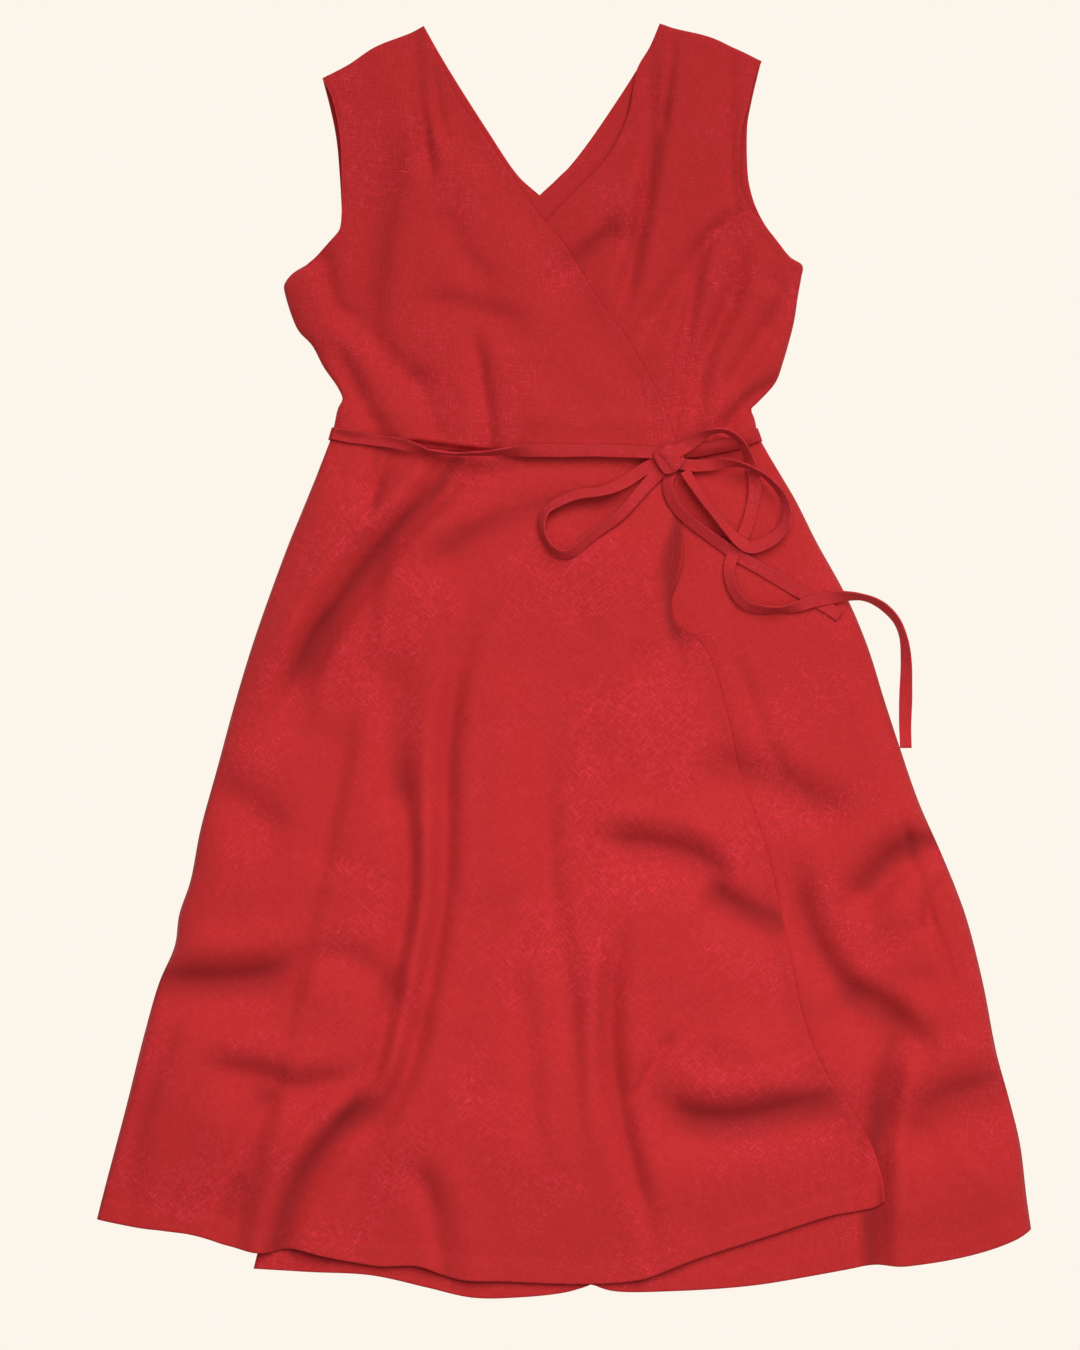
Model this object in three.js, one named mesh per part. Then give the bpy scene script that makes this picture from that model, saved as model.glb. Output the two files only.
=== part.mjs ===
// A sleeveless wrap dress in red linen, laid flat on its back with its waist tie in a bow.
// Sizes are in millimetres. X runs across the dress, Y from the hem to the shoulders, and Z up
// from the surface that it lies on. The origin is the middle of the dress, on that surface.
// The wearer's right front is on the -X side and wraps over the left front.
import * as THREE from 'three';

// Cloth and tie
const CLOTH = 1.3; // wall of a panel, which is linen with its turned and pressed edges
const SEAM_GAP = 0.3; // clearance between pieces that are sewn together
const WAIST_GAP = 0.6; // between bodice and skirt, whose edges are cut into different lengths
const LAYER_GAP = 1.0; // air between the two fronts where one lies on the other
const TIE_WIDTH = 11;
const TIE_CLOTH = 1.5; // the tie is a strip folded in four and stitched

// How far the fronts stand off what they lie on
const SKIRT_LOFT = 10.5;
const BODICE_LOFT = 7.5;
const WAIST_LOFT = 2.2; // where the tie holds the cloth down
const UNDER_LOFT = 7.5; // the left front, where the right front doesn't cover it
const LEAST_LOFT = 1.6; // at the bottom of the deepest fold
const FOLD_SOFTNESS = 1.4; // how gently a fold bottoms out there
const SEAM_ROUND = 34; // distance from a sewn edge over which the cloth rises
const WAIST_ROUND = 34; // distance from the tie over which the cloth rises
const UNDER_FLAT = 0.28; // share of its loft that the left front keeps under the right front
const EDGE_BLEND = 60; // width of the strip in which the left front settles under the right
const STEP_RUN = 20; // how soon the right front comes down past the left front's free edge
const FRONT_SPREAD = 16; // how much wider than the back's the fronts' rise over the tie is
const ARMPIT_Y = 345;
const ARMHOLE_RUN = 45; // height over the armpit within which front and back come apart
const EDGE_KEEP = 0.25; // share of its loft that the right front keeps at its free edge
const SETTLE = 1.5; // how far the right front sinks into its own loft where the left is below it

// Measures of the folds and of the curves that are looked up
const CURVE_SAMPLES = 240;
const FOLD_STEPS = 14;
const FOLD_FADES = { start: 0.3, end: 0.72 }; // shares of a fold's length where it is full
const FAR_WAY = { x: 0.55, y: 0.84 }; // towards the shoulders and the wearer's left

// Panel grids
const SKIRT_OVER = { columns: 30, rows: 25 };
const SKIRT_UNDER = { columns: 25, rows: 20 };
const BODICE_OVER = { columns: 17, rows: 17 };
const BODICE_UNDER = { columns: 15, rows: 17 };
const BACK_ROWS = 8;

const RED = { color: 0xb92c2e, roughness: 0.82, metalness: 0 };
const INSIDE_RED = { color: 0xa32629, roughness: 0.86, metalness: 0 };
const TIE_RED = { color: 0xbf3033, roughness: 0.8, metalness: 0 };

const table = (names, rows) =>
  rows.map((row) => Object.fromEntries(names.map((name, i) => [name, row[i]])));
const POINT = ['x', 'y'];

// Side of the back from the left shoulder, round the armhole and the underarm point, to the waist
const BACK_SIDE_LEFT = table(POINT, [
  [-217, 523], [-210, 496], [-205, 471], [-202, 440], [-200, 397], [-201, 386], [-209, 375],
  [-226, 358], [-244, 347], [-251, 337], [-250, 329], [-244, 309], [-238, 296], [-226, 283],
  [-216, 264], [-203, 245], [-199, 235], [-203, 227], [-206, 214], [-208, 204],
]);
const BACK_SIDE_RIGHT = table(POINT, [
  [177, 537], [172, 517], [168, 499], [165, 482], [165, 442], [167, 426], [172, 409],
  [180, 393], [191, 378], [203, 363], [214, 355], [213, 345], [210, 328], [207, 307],
  [203, 290], [197, 269], [190, 250], [172, 230], [168, 226], [171, 218], [174, 203],
]);
// The fronts' armholes lie a little inside the back's
const FRONT_SIDE_LEFT = table(POINT, [
  [-215, 522], [-208, 508], [-203, 490], [-199, 464], [-198, 430], [-198, 398], [-200, 386],
  [-209, 375], [-226, 358], [-244, 347], [-251, 337], [-250, 329], [-244, 309], [-238, 296],
  [-226, 283], [-216, 264], [-203, 245], [-199, 235], [-203, 227], [-206, 214], [-208, 204],
]);
const FRONT_SIDE_RIGHT = table(POINT, [
  [176, 538], [170, 524], [164, 500], [158, 475], [156, 449], [156, 424], [163, 408],
  [174, 395], [187, 380], [202, 363], [214, 355], [213, 345], [210, 328], [207, 307],
  [203, 290], [197, 269], [190, 250], [172, 230], [168, 226], [171, 218], [174, 203],
]);
const SHOULDER_LEFT = table(POINT, [[-217, 523], [-194, 535], [-170, 551], [-139, 564], [-126, 571]]);
const SHOULDER_RIGHT = table(POINT, [[86, 573], [101, 568], [130, 560], [161, 546], [177, 538]]);
const BACK_NECK_LEFT = table(POINT, [[-126, 571], [-109, 541], [-70, 479], [-40, 435], [-22, 419]]);
const BACK_NECK_RIGHT = table(POINT, [[-22, 419], [6, 446], [45, 500], [77, 552], [86, 573]]);
// Crossing edges of the two fronts, from shoulder to waist
const OVER_NECK = table(POINT, [
  [-126, 571], [-109, 533], [-97, 508], [-70, 470], [-20, 398], [4, 369], [26, 332],
  [58, 287], [77, 254], [94, 219], [101, 189],
]);
const UNDER_NECK = table(POINT, [
  [86, 573], [77, 552], [66, 533], [62, 514], [57, 489], [38, 452], [6, 418], [-9, 402],
  [-58, 347], [-103, 280], [-125, 226], [-134, 193],
]);
// Where the bodice is sewn to the skirt, which is also the middle of the tie
const WAIST = table(POINT, [
  [-208, 204], [-169, 198], [-130, 192], [-89, 188], [0, 188], [79, 187], [104, 187],
  [131, 190], [158, 196], [174, 203],
]);
const SKIRT_SIDE_LEFT = table(POINT, [
  [-208, 204], [-222, 168], [-235, 136], [-250, 99], [-278, 21], [-294, -31], [-312, -97],
  [-327, -152], [-336, -198], [-346, -228], [-350, -256], [-364, -289], [-377, -334],
  [-394, -402], [-413, -474], [-420, -502],
]);
const SKIRT_SIDE_RIGHT = table(POINT, [
  [174, 203], [186, 182], [208, 145], [226, 109], [254, 58], [273, 13], [288, -35],
  [302, -78], [319, -127], [338, -170], [354, -209], [363, -235], [377, -291], [389, -353],
  [400, -393], [410, -434], [416, -483], [420, -511],
]);
// Free edge of the over skirt, with the soft double bend under the bow
const OVER_EDGE = table(POINT, [
  [101, 188], [103, 145], [106, 96], [102, 77], [96, 55], [101, 33], [121, 18], [131, 2],
  [145, -43], [157, -97], [176, -152], [187, -192], [202, -263], [215, -322], [237, -374],
  [257, -400], [277, -436], [284, -458], [287, -485],
]);
const UNDER_EDGE = table(POINT, [[-134, 192], [-148, 60], [-190, -160], [-240, -390], [-279, -546]]);
const OVER_HEM = table(POINT, [
  [-420, -502], [-383, -509], [-331, -516], [-306, -524], [-266, -531], [-244, -527],
  [-210, -535], [-166, -543], [-131, -543], [-99, -554], [-49, -557], [25, -559], [68, -555],
  [112, -539], [180, -517], [243, -497], [279, -491], [287, -485],
]);
const NOTCH_X = 25;
const UNDER_HEM_LEFT = table(POINT, [
  [-279, -546], [-229, -549], [-173, -552], [-123, -563], [-83, -572], [-43, -572], [3, -567],
  [NOTCH_X, -560],
]);
const UNDER_HEM_RIGHT = table(POINT, [
  [NOTCH_X, -560], [43, -566], [103, -566], [171, -561], [226, -552], [276, -543], [313, -542],
  [369, -532], [406, -519], [420, -511],
]);
const BACK_HEM = table(POINT, [[-420, -502], [-331, -511], [-210, -530], [-30, -552], [150, -550],
  [300, -534], [420, -511]]);

// Folds of the fronts. Each is a trough, or with a negative depth a ridge, along up to four
// points. near is its width towards the hem and the wearer's right, and far the other way.
const FOLD = ['depth', 'near', 'far', 'path'];
const OVER_FOLDS = table(FOLD, [
  [10, 30, 18, [[-134, 147], [-176, 98], [-214, 40], [-251, -28]]],
  [4, 20, 10, [[-173, 192], [-175, 160], [-178, 128]]],
  [8, 28, 15, [[-79, 22], [-94, -98], [-101, -233], [-167, -442]]],
  [8, 24, 13, [[-112, -96], [-137, -224], [-154, -352], [-257, -528]]],
  [4, 28, 16, [[-5, -143], [-4, -215], [7, -287], [18, -362]]],
  [7, 26, 12, [[43, -258], [51, -335], [66, -430], [84, -524]]],
  [5, 26, 15, [[32, -157], [82, -149], [133, -170]]],
  [5, 22, 15, [[130, -186], [163, -209], [193, -230]]],
  [8, 26, 14, [[96, -392], [154, -405], [212, -393], [264, -378]]],
  [7, 24, 13, [[-350, -272], [-299, -280], [-240, -268]]],
  [4, 26, 15, [[-222, -262], [-175, -258], [-141, -292]]],
  [5, 22, 13, [[-318, -350], [-278, -359], [-190, -366]]],
  [4, 24, 15, [[-320, -105], [-300, -118], [-272, -138]]],
  [4, 28, 15, [[-192, 0], [-185, -71], [-178, -138]]],
  [3, 22, 13, [[-357, -375], [-371, -440], [-372, -505]]],
  [3, 24, 18, [[-274, -388], [-262, -462]]],
  [5, 28, 17, [[-124, 88], [-80, 127], [-22, 152], [38, 163]]],
  [4, 22, 14, [[-140, -462], [-119, -503], [-111, -548]]],
  [-4, 16, 16, [[-97, -110], [-115, -215], [-126, -305], [-152, -385]]],
  [-3, 34, 42, [[-40, 20], [-48, -125], [-56, -280]]],
  [-3, 22, 32, [[72, -262], [80, -350], [104, -450]]],
  [-3, 20, 24, [[108, -362], [185, -352], [236, -342]]],
]);
const UNDER_FOLDS = table(FOLD, [
  [4, 26, 20, [[168, -20], [190, -95], [214, -128]]],
  [5, 28, 20, [[224, -192], [246, -256], [318, -322]]],
  [4, 20, 16, [[328, -155], [298, -172], [272, -200]]],
  [4, 30, 20, [[304, -352], [292, -425], [294, -548]]],
  [4, 24, 18, [[396, -380], [347, -400], [325, -426]]],
]);
const OVER_BODICE_FOLDS = table(FOLD, [
  [3, 12, 10, [[-122, 545], [-121, 496], [-115, 440]]],
  [4, 20, 14, [[-160, 440], [-168, 379], [-174, 318]]],
  [3, 18, 13, [[-208, 336], [-190, 302], [-145, 270]]],
  [3, 20, 14, [[-124, 339], [-76, 327], [-12, 324]]],
  [3, 12, 10, [[-67, 290], [-64, 228]]],
  [4, 14, 10, [[-195, 264], [-173, 235], [-150, 206]]],
]);
const UNDER_BODICE_FOLDS = table(FOLD, [
  [4, 12, 10, [[85, 548], [89, 496], [75, 410], [66, 355]]],
  [4, 16, 12, [[6, 355], [32, 383], [59, 412]]],
  [3, 14, 11, [[58, 272], [84, 318], [151, 399]]],
  [3, 12, 10, [[103, 206], [109, 262], [124, 320]]],
  [3, 16, 12, [[124, 210], [138, 262], [165, 328]]],
]);

// Ties of the bow, as the line along the middle. lift is the height over the cloth below, and
// roll turns the strip on its length, in degrees.
const STRIP = ['x', 'y', 'lift', 'roll'];
const LEFT_LOOP = table(STRIP, [
  [82.3, 177.3, 4.8, 0], [66, 168, 4.6, 8], [52, 159, 4.8, 20], [36, 151, 5.5, 35],
  [17, 146, 6, 50], [-2, 140, 6, 55], [-15, 132, 6, 60], [-20, 120, 6, 65], [-18, 108, 5.5, 60],
  [-11, 98, 4.5, 50], [-1, 94, 3.5, 40], [8, 98, 3, 30], [19, 107, 2.5, 20], [34, 118, 2, 10],
  [50, 129, 1.5, 5], [63, 142, 1.3, 0], [73, 154, 1.9, 0], [86.3, 168.8, 2.6, 0],
]);
const SHORT_TAIL = table(STRIP, [
  [94, 170.6, 0.4, 0], [93, 157, 0.4, 0], [97, 144, 0.5, 0], [104, 134, 0.5, 0],
  [114, 124, 0.5, 0], [127, 114, 0.5, 0], [141, 104, 0.5, 0], [157, 93, 0.5, 0],
  [175, 83, 0.5, 0], [194, 72, 0.5, 0], [214, 60, 0.5, 0], [232, 50, 0.5, 0], [247, 40, 0.5, 0],
]);
const LONG_TAIL = table(STRIP, [
  [102.7, 190.3, 4, 0], [114, 195, 4, 5], [126, 201, 5, 15], [139, 204, 4.5, 20],
  [152, 201, 4, 20], [162, 191, 3.5, 10], [168, 178, 3, 0], [170, 163, 2.8, 0],
  [169, 148, 2.8, 0], [166, 132, 2.8, 0], [162, 117, 3, 0], [156, 104, 3.4, 0],
  [150, 91, 3.4, 0], [148, 77, 2.5, 15], [152, 62, 1.5, 30], [161, 51, 1.2, 30],
  [176, 46, 1.5, 20], [194, 46, 2.4, 10], [212, 49, 3.6, 0], [232, 54, 3.8, 0],
  [253, 56, 3.2, 0], [266, 56, 2.0, 0], [276, 54, 0.5, 0], [288, 48, 0, 0], [299, 36, 0, 0],
  [305, 21, 0, 0], [307, 1, 0, 0], [307, -26, 0, 0], [307, -53, 0, 0], [307, -78, 0, 0],
]);
const RIGHT_LOOP = table(STRIP, [
  [105.5, 178, 7, 0], [119, 175, 7, 0], [136, 174, 7, 10], [154, 174, 7.5, 25],
  [168, 172, 7.5, 40], [181, 166, 7, 50], [192, 157, 6.5, 60], [199, 145, 6, 60],
  [201, 132, 6, 55], [196, 120, 6, 50], [187, 110, 6.2, 40], [176, 104, 6.6, 25],
  [166, 102, 7, 10], [157, 107, 7, 0], [147, 117, 6.5, 0], [136, 129, 6, 0], [126, 142, 5.5, 0],
  [117, 154, 4.5, 0], [107, 168, 3.5, 0],
]);
const STRIP_STEP = 6.5; // length of one segment of a bow strip
const AT_REST = 0.1; // least height of a bow strip over what it lies on
// Where the cloth's height is felt for below a strip, from its middle
const UNDER_STRIP = { across: [-6, -2.8, 0, 2.8, 6], along: [-3.9, -2, 0, 2, 3.9] };
// The knot, as its outline from above and its outline's share at each height over the cloth
const KNOT_OUTLINE = table(POINT, [
  [80, 186], [90, 191], [99, 192.5], [103.5, 187], [105, 179], [98, 173], [89, 171.5], [83, 177],
]);
const KNOT_RINGS = table(['height', 'share'], [
  [0, 0.8], [1.5, 0.94], [4, 1], [6.5, 1], [8.5, 0.9], [9.8, 0.68],
]);
const KNOT_POINTS = 18; // round the outline
const KNOT_SIDE = 0.8; // from the outline to the end of the tie round the waist

const vector = (p) => new THREE.Vector3(p.x, p.y, 0);
const spline = (points) =>
  new THREE.CatmullRomCurve3(points.map(vector), false, 'centripetal');
const { clamp, lerp, smoothstep: smooth } = THREE.MathUtils;

// Looks up one coordinate of a curve from the other, for a curve that never turns back in it
function along(points, from, to) {
  const samples = spline(points).getSpacedPoints(CURVE_SAMPLES);
  if (samples[0][from] > samples.at(-1)[from]) samples.reverse();
  return (value) => {
    let i = samples.findIndex((p) => p[from] >= value);
    if (i === 0) return samples[0][to];
    if (i < 0) return samples.at(-1)[to];
    const [a, b] = [samples[i - 1], samples[i]];
    const share = (value - a[from]) / Math.max(b[from] - a[from], 1e-9);
    return a[to] + (b[to] - a[to]) * share;
  };
}

const waistY = along(WAIST, 'x', 'y');
const bodiceLeftX = along(BACK_SIDE_LEFT, 'y', 'x');
const bodiceRightX = along(BACK_SIDE_RIGHT, 'y', 'x');
const skirtLeftX = along(SKIRT_SIDE_LEFT, 'y', 'x');
const skirtRightX = along(SKIRT_SIDE_RIGHT, 'y', 'x');
const shoulderLeftY = along(SHOULDER_LEFT, 'x', 'y');
const shoulderRightY = along(SHOULDER_RIGHT, 'x', 'y');
const overEdgeX = along([...OVER_NECK, ...OVER_EDGE.slice(1)], 'y', 'x');
const underEdgeX = along([...UNDER_NECK, ...UNDER_EDGE.slice(1)], 'y', 'x');

// A quarter round: 0 at a sewn edge, and 1 from SEAM_ROUND inwards
function roundOff(distance, radius = SEAM_ROUND) {
  const share = clamp(distance / radius, 0, 1);
  return Math.sqrt(1 - (1 - share) ** 2);
}

// Share of their loft that the fronts have at a point: none along sewn edges
function openness(x, y) {
  const inSkirt = y < waistY(x);
  const left = inSkirt ? skirtLeftX(y) : bodiceLeftX(y);
  const right = inSkirt ? skirtRightX(y) : bodiceRightX(y);
  const atArmhole = smooth(y, ARMPIT_Y - 5, ARMPIT_Y + ARMHOLE_RUN);
  const sides = roundOff(x - left) * roundOff(right - x);
  const sewn = lerp(sides, 1, atArmhole);
  const shoulder = x < 0 ? shoulderLeftY(x) : shoulderRightY(x);
  return sewn * (inSkirt ? 1 : roundOff(shoulder - y));
}

function foldDepth(folds, x, y) {
  let total = 0;
  for (const fold of folds) {
    fold.line ??= spline(fold.path.map(([px, py]) => ({ x: px, y: py }))).getSpacedPoints(FOLD_STEPS);
    let nearest = { distance: Infinity };
    for (let i = 1; i < fold.line.length; i++) {
      const [a, b] = [fold.line[i - 1], fold.line[i]];
      const [dx, dy] = [b.x - a.x, b.y - a.y];
      const share = clamp(((x - a.x) * dx + (y - a.y) * dy) / (dx * dx + dy * dy), 0, 1);
      const [ox, oy] = [x - a.x - share * dx, y - a.y - share * dy];
      const distance = Math.hypot(ox, oy);
      if (distance < nearest.distance) {
        const far = ox * FAR_WAY.x + oy * FAR_WAY.y > 0;
        nearest = { distance, far, at: (i - 1 + share) / FOLD_STEPS };
      }
    }
    const ends = smooth(nearest.at, 0, FOLD_FADES.start) * (1 - smooth(nearest.at, FOLD_FADES.end, 1));
    const width = nearest.far ? fold.far : fold.near;
    total += fold.depth * ends * Math.exp(-((nearest.distance / width) ** 2));
  }
  return total;
}

// Loft less folds, which bottoms out softly at LEAST_LOFT
function foldedLoft(loft, depth) {
  const over = (loft - depth - LEAST_LOFT) / FOLD_SOFTNESS;
  return LEAST_LOFT + FOLD_SOFTNESS * (over > 20 ? over : Math.log1p(Math.exp(over)));
}

const waistShare = (x, y) => smooth(Math.abs(y - waistY(x)), 5, WAIST_ROUND);

// Undersides of the three layers, from the surface up
function overTie(x, y, spread) {
  const away = Math.abs(y - waistY(x)) - TIE_WIDTH / 2 - spread;
  return (TIE_CLOTH + SEAM_GAP) * (1 - smooth(away, 2.5, 22));
}
const backUnderside = (x, y) => overTie(x, y, 0);
const overBack = (x, y) => overTie(x, y, FRONT_SPREAD) + CLOTH + SEAM_GAP;

function underFrontLoft(x, y) {
  const inSkirt = y < waistY(x);
  const folds = inSkirt ? UNDER_FOLDS : UNDER_BODICE_FOLDS;
  const loft = lerp(WAIST_LOFT, UNDER_LOFT, waistShare(x, y));
  const shown = smooth(x - overEdgeX(y), -EDGE_BLEND, EDGE_BLEND * 0.4);
  const folded = foldedLoft(loft, foldDepth(folds, x, y));
  return openness(x, y) * folded * lerp(UNDER_FLAT, 1, shown);
}
const underFrontUnderside = (x, y) => overBack(x, y) + underFrontLoft(x, y);

function overFrontUnderside(x, y) {
  const inSkirt = y < waistY(x);
  const folds = inSkirt ? OVER_FOLDS : OVER_BODICE_FOLDS;
  const full = inSkirt ? SKIRT_LOFT : BODICE_LOFT;
  const loft = lerp(WAIST_LOFT, full, waistShare(x, y));
  const folded = openness(x, y) * foldedLoft(loft, foldDepth(folds, x, y));
  const past = x - underEdgeX(y);
  const lying = smooth(past, -STEP_RUN - 6, -6);
  const nearEdge = smooth(overEdgeX(y) - x, 0, EDGE_BLEND);
  const settled = lerp(folded, folded * lerp(EDGE_KEEP, 1, nearEdge), lying);
  const layers = lying * (underFrontLoft(x, y) + CLOTH + LAYER_GAP);
  return overBack(x, y) + Math.max(settled, layers + settled - SETTLE * lying);
}

// A wall of even height over four edges: a grid of points, blended between the edges
function panel(name, edges, columns, rows, underside, finish) {
  const [top, bottom, left, right] = [edges.top, edges.bottom, edges.left, edges.right];
  const corners = [left(0), right(0), left(1), right(1)];
  const place = (u, v) => {
    const point = new THREE.Vector3();
    point.addScaledVector(top(u), 1 - v).addScaledVector(bottom(u), v);
    point.addScaledVector(left(v), 1 - u).addScaledVector(right(v), u);
    point.addScaledVector(corners[0], -(1 - u) * (1 - v)).addScaledVector(corners[1], -u * (1 - v));
    return point.addScaledVector(corners[2], -(1 - u) * v).addScaledVector(corners[3], -u * v);
  };
  const across = columns.length;
  const lower = rows.flatMap((v) => columns.map((u) => place(u, v)));
  for (const point of lower) point.z = underside(point.x, point.y);
  const upper = lower.map((point) => new THREE.Vector3(point.x, point.y, point.z + CLOTH));
  const faces = [];
  const raised = lower.length;
  for (let r = 0; r + 1 < rows.length; r++) {
    for (let c = 0; c + 1 < across; c++) {
      const [a, b, d, e] = [r * across + c, r * across + c + 1, (r + 1) * across + c,
        (r + 1) * across + c + 1];
      const split = (r + c) % 2 ? [a, d, e, a, e, b] : [a, d, b, b, d, e];
      faces.push(...split.map((i) => i + raised));
      faces.push(...split.toReversed());
    }
  }
  const last = (rows.length - 1) * across;
  const rim = [
    ...Array.from({ length: across }, (_, c) => last + c),
    ...Array.from({ length: rows.length - 1 }, (_, r) => last + across - 1 - (r + 1) * across),
    ...Array.from({ length: across - 1 }, (_, c) => across - 2 - c),
    ...Array.from({ length: rows.length - 2 }, (_, r) => (r + 1) * across),
  ];
  rim.forEach((i, n) => {
    const j = rim[(n + 1) % rim.length];
    faces.push(i, j, j + raised, i, j + raised, i + raised);
  });
  return solid(name, [...lower, ...upper], faces, finish);
}

function solid(name, points, faces, finish) {
  const geometry = new THREE.BufferGeometry().setFromPoints(points);
  geometry.setIndex(faces);
  geometry.computeVertexNormals();
  const mesh = new THREE.Mesh(geometry, new THREE.MeshStandardMaterial(finish));
  mesh.name = name;
  return mesh;
}

const evenly = (count) => Array.from({ length: count + 1 }, (_, i) => i / count);
const edge = (points) => {
  const curve = spline(points);
  return (share) => curve.getPointAt(share);
};
// Several curves end to end, each over its own share of the columns, so that corners stay sharp
function joined(parts) {
  const total = parts.reduce((sum, part) => sum + part.columns, 0);
  const curves = parts.map((part) => edge(part.points));
  return (share) => {
    let at = share * total;
    let i = 0;
    while (i < parts.length - 1 && at > parts[i].columns) at -= parts[i++].columns;
    return curves[i](clamp(at / parts[i].columns, 0, 1));
  };
}
// The stretch of the waist from one x to another, a seam's clearance above or below its line
function waistBetween(from, to, side) {
  return (share) => {
    const x = lerp(from, to, share);
    return new THREE.Vector3(x, waistY(x) + (side * WAIST_GAP) / 2, 0);
  };
}

const panels = [];
function add(mesh) {
  panels.push(mesh);
  return mesh;
}

// Rows close together over the tie, where the back rises over it
const rowsFromWaist = (length, rows) => {
  const near = [0, 8, 18, 30].map((distance) => distance / length);
  return [...near, ...evenly(rows).slice(1).map((t) => near[3] + (1 - near[3]) * t)];
};
const SHOULDER_COLUMNS = 3;
const NECK_COLUMNS = 4;
const BACK_COLUMNS = 2 * (SHOULDER_COLUMNS + NECK_COLUMNS);
const BODICE_LENGTH = 340;
const SKIRT_LENGTH = 720;

add(panel('back_bodice', {
  top: joined([
    { points: SHOULDER_LEFT, columns: SHOULDER_COLUMNS },
    { points: BACK_NECK_LEFT, columns: NECK_COLUMNS },
    { points: BACK_NECK_RIGHT, columns: NECK_COLUMNS },
    { points: SHOULDER_RIGHT, columns: SHOULDER_COLUMNS },
  ]),
  bottom: waistBetween(WAIST[0].x, WAIST.at(-1).x, 1),
  left: edge(BACK_SIDE_LEFT),
  right: edge(BACK_SIDE_RIGHT),
}, evenly(BACK_COLUMNS), rowsFromWaist(BODICE_LENGTH, BACK_ROWS + 4).map((v) => 1 - v).reverse(),
backUnderside, INSIDE_RED));

add(panel('back_skirt', {
  top: waistBetween(WAIST[0].x, WAIST.at(-1).x, -1),
  bottom: edge(BACK_HEM),
  left: edge(SKIRT_SIDE_LEFT),
  right: edge(SKIRT_SIDE_RIGHT),
}, evenly(BACK_COLUMNS), rowsFromWaist(SKIRT_LENGTH, BACK_ROWS + 6), backUnderside, INSIDE_RED));

add(panel('left_front_bodice', {
  top: edge(SHOULDER_RIGHT),
  bottom: waistBetween(UNDER_NECK.at(-1).x, WAIST.at(-1).x, 1),
  left: edge(UNDER_NECK),
  right: edge(FRONT_SIDE_RIGHT),
}, evenly(BODICE_UNDER.columns), evenly(BODICE_UNDER.rows), underFrontUnderside, RED));

const hemShare = (NOTCH_X - UNDER_HEM_LEFT[0].x) / (UNDER_HEM_RIGHT.at(-1).x - UNDER_HEM_LEFT[0].x);
const leftHemColumns = Math.round(SKIRT_UNDER.columns * hemShare);
add(panel('left_front_skirt', {
  top: waistBetween(UNDER_NECK.at(-1).x, WAIST.at(-1).x, -1),
  bottom: joined([
    { points: UNDER_HEM_LEFT, columns: leftHemColumns },
    { points: UNDER_HEM_RIGHT, columns: SKIRT_UNDER.columns - leftHemColumns },
  ]),
  left: edge(UNDER_EDGE),
  right: edge(SKIRT_SIDE_RIGHT),
}, evenly(SKIRT_UNDER.columns), evenly(SKIRT_UNDER.rows), underFrontUnderside, RED));

add(panel('right_front_bodice', {
  top: edge(SHOULDER_LEFT),
  bottom: waistBetween(WAIST[0].x, OVER_NECK.at(-1).x, 1),
  left: edge(FRONT_SIDE_LEFT),
  right: edge(OVER_NECK),
}, evenly(BODICE_OVER.columns), evenly(BODICE_OVER.rows), overFrontUnderside, RED));

add(panel('right_front_skirt', {
  top: waistBetween(WAIST[0].x, OVER_EDGE[0].x, -1),
  bottom: edge(OVER_HEM),
  left: edge(SKIRT_SIDE_LEFT),
  right: edge(OVER_EDGE),
}, evenly(SKIRT_OVER.columns), evenly(SKIRT_OVER.rows), overFrontUnderside, RED));

// Height of the highest panel at a point, from the panels' own triangles, or 0 off the dress
function clothTop(x, y) {
  let best = 0;
  for (const mesh of panels) {
    const { position } = mesh.geometry.attributes;
    const index = mesh.geometry.index.array;
    for (let i = 0; i < index.length; i += 3) {
      const [a, b, c] = [index[i], index[i + 1], index[i + 2]];
      const [ax, ay, bx, by] = [position.getX(a), position.getY(a), position.getX(b), position.getY(b)];
      const [cx, cy] = [position.getX(c), position.getY(c)];
      if (x < Math.min(ax, bx, cx) || x > Math.max(ax, bx, cx)) continue;
      if (y < Math.min(ay, by, cy) || y > Math.max(ay, by, cy)) continue;
      const area = (bx - ax) * (cy - ay) - (cx - ax) * (by - ay);
      if (Math.abs(area) < 1e-9) continue;
      const s = ((x - ax) * (cy - ay) - (cx - ax) * (y - ay)) / area;
      const t = ((bx - ax) * (y - ay) - (x - ax) * (by - ay)) / area;
      if (s < -1e-6 || t < -1e-6 || s + t > 1 + 1e-6) continue;
      const z = position.getZ(a) * (1 - s - t) + position.getZ(b) * s + position.getZ(c) * t;
      best = Math.max(best, z);
    }
  }
  return best;
}

// A flat strip swept through stations, each with its middle and its width and thickness vectors
function strip(name, stations, finish) {
  const points = stations.flatMap(({ middle, wide, thick }) => [
    middle.clone().sub(wide).sub(thick), middle.clone().add(wide).sub(thick),
    middle.clone().add(wide).add(thick), middle.clone().sub(wide).add(thick),
  ]);
  const faces = [0, 1, 2, 0, 2, 3];
  const last = points.length - 4;
  for (let s = 0; s < last; s += 4) {
    for (let k = 0; k < 4; k++) {
      const [a, b] = [s + k, s + ((k + 1) % 4)];
      faces.push(a, b + 4, b, a, a + 4, b + 4);
    }
  }
  faces.push(last, last + 2, last + 1, last, last + 3, last + 2);
  return solid(name, points, faces, finish);
}

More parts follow.
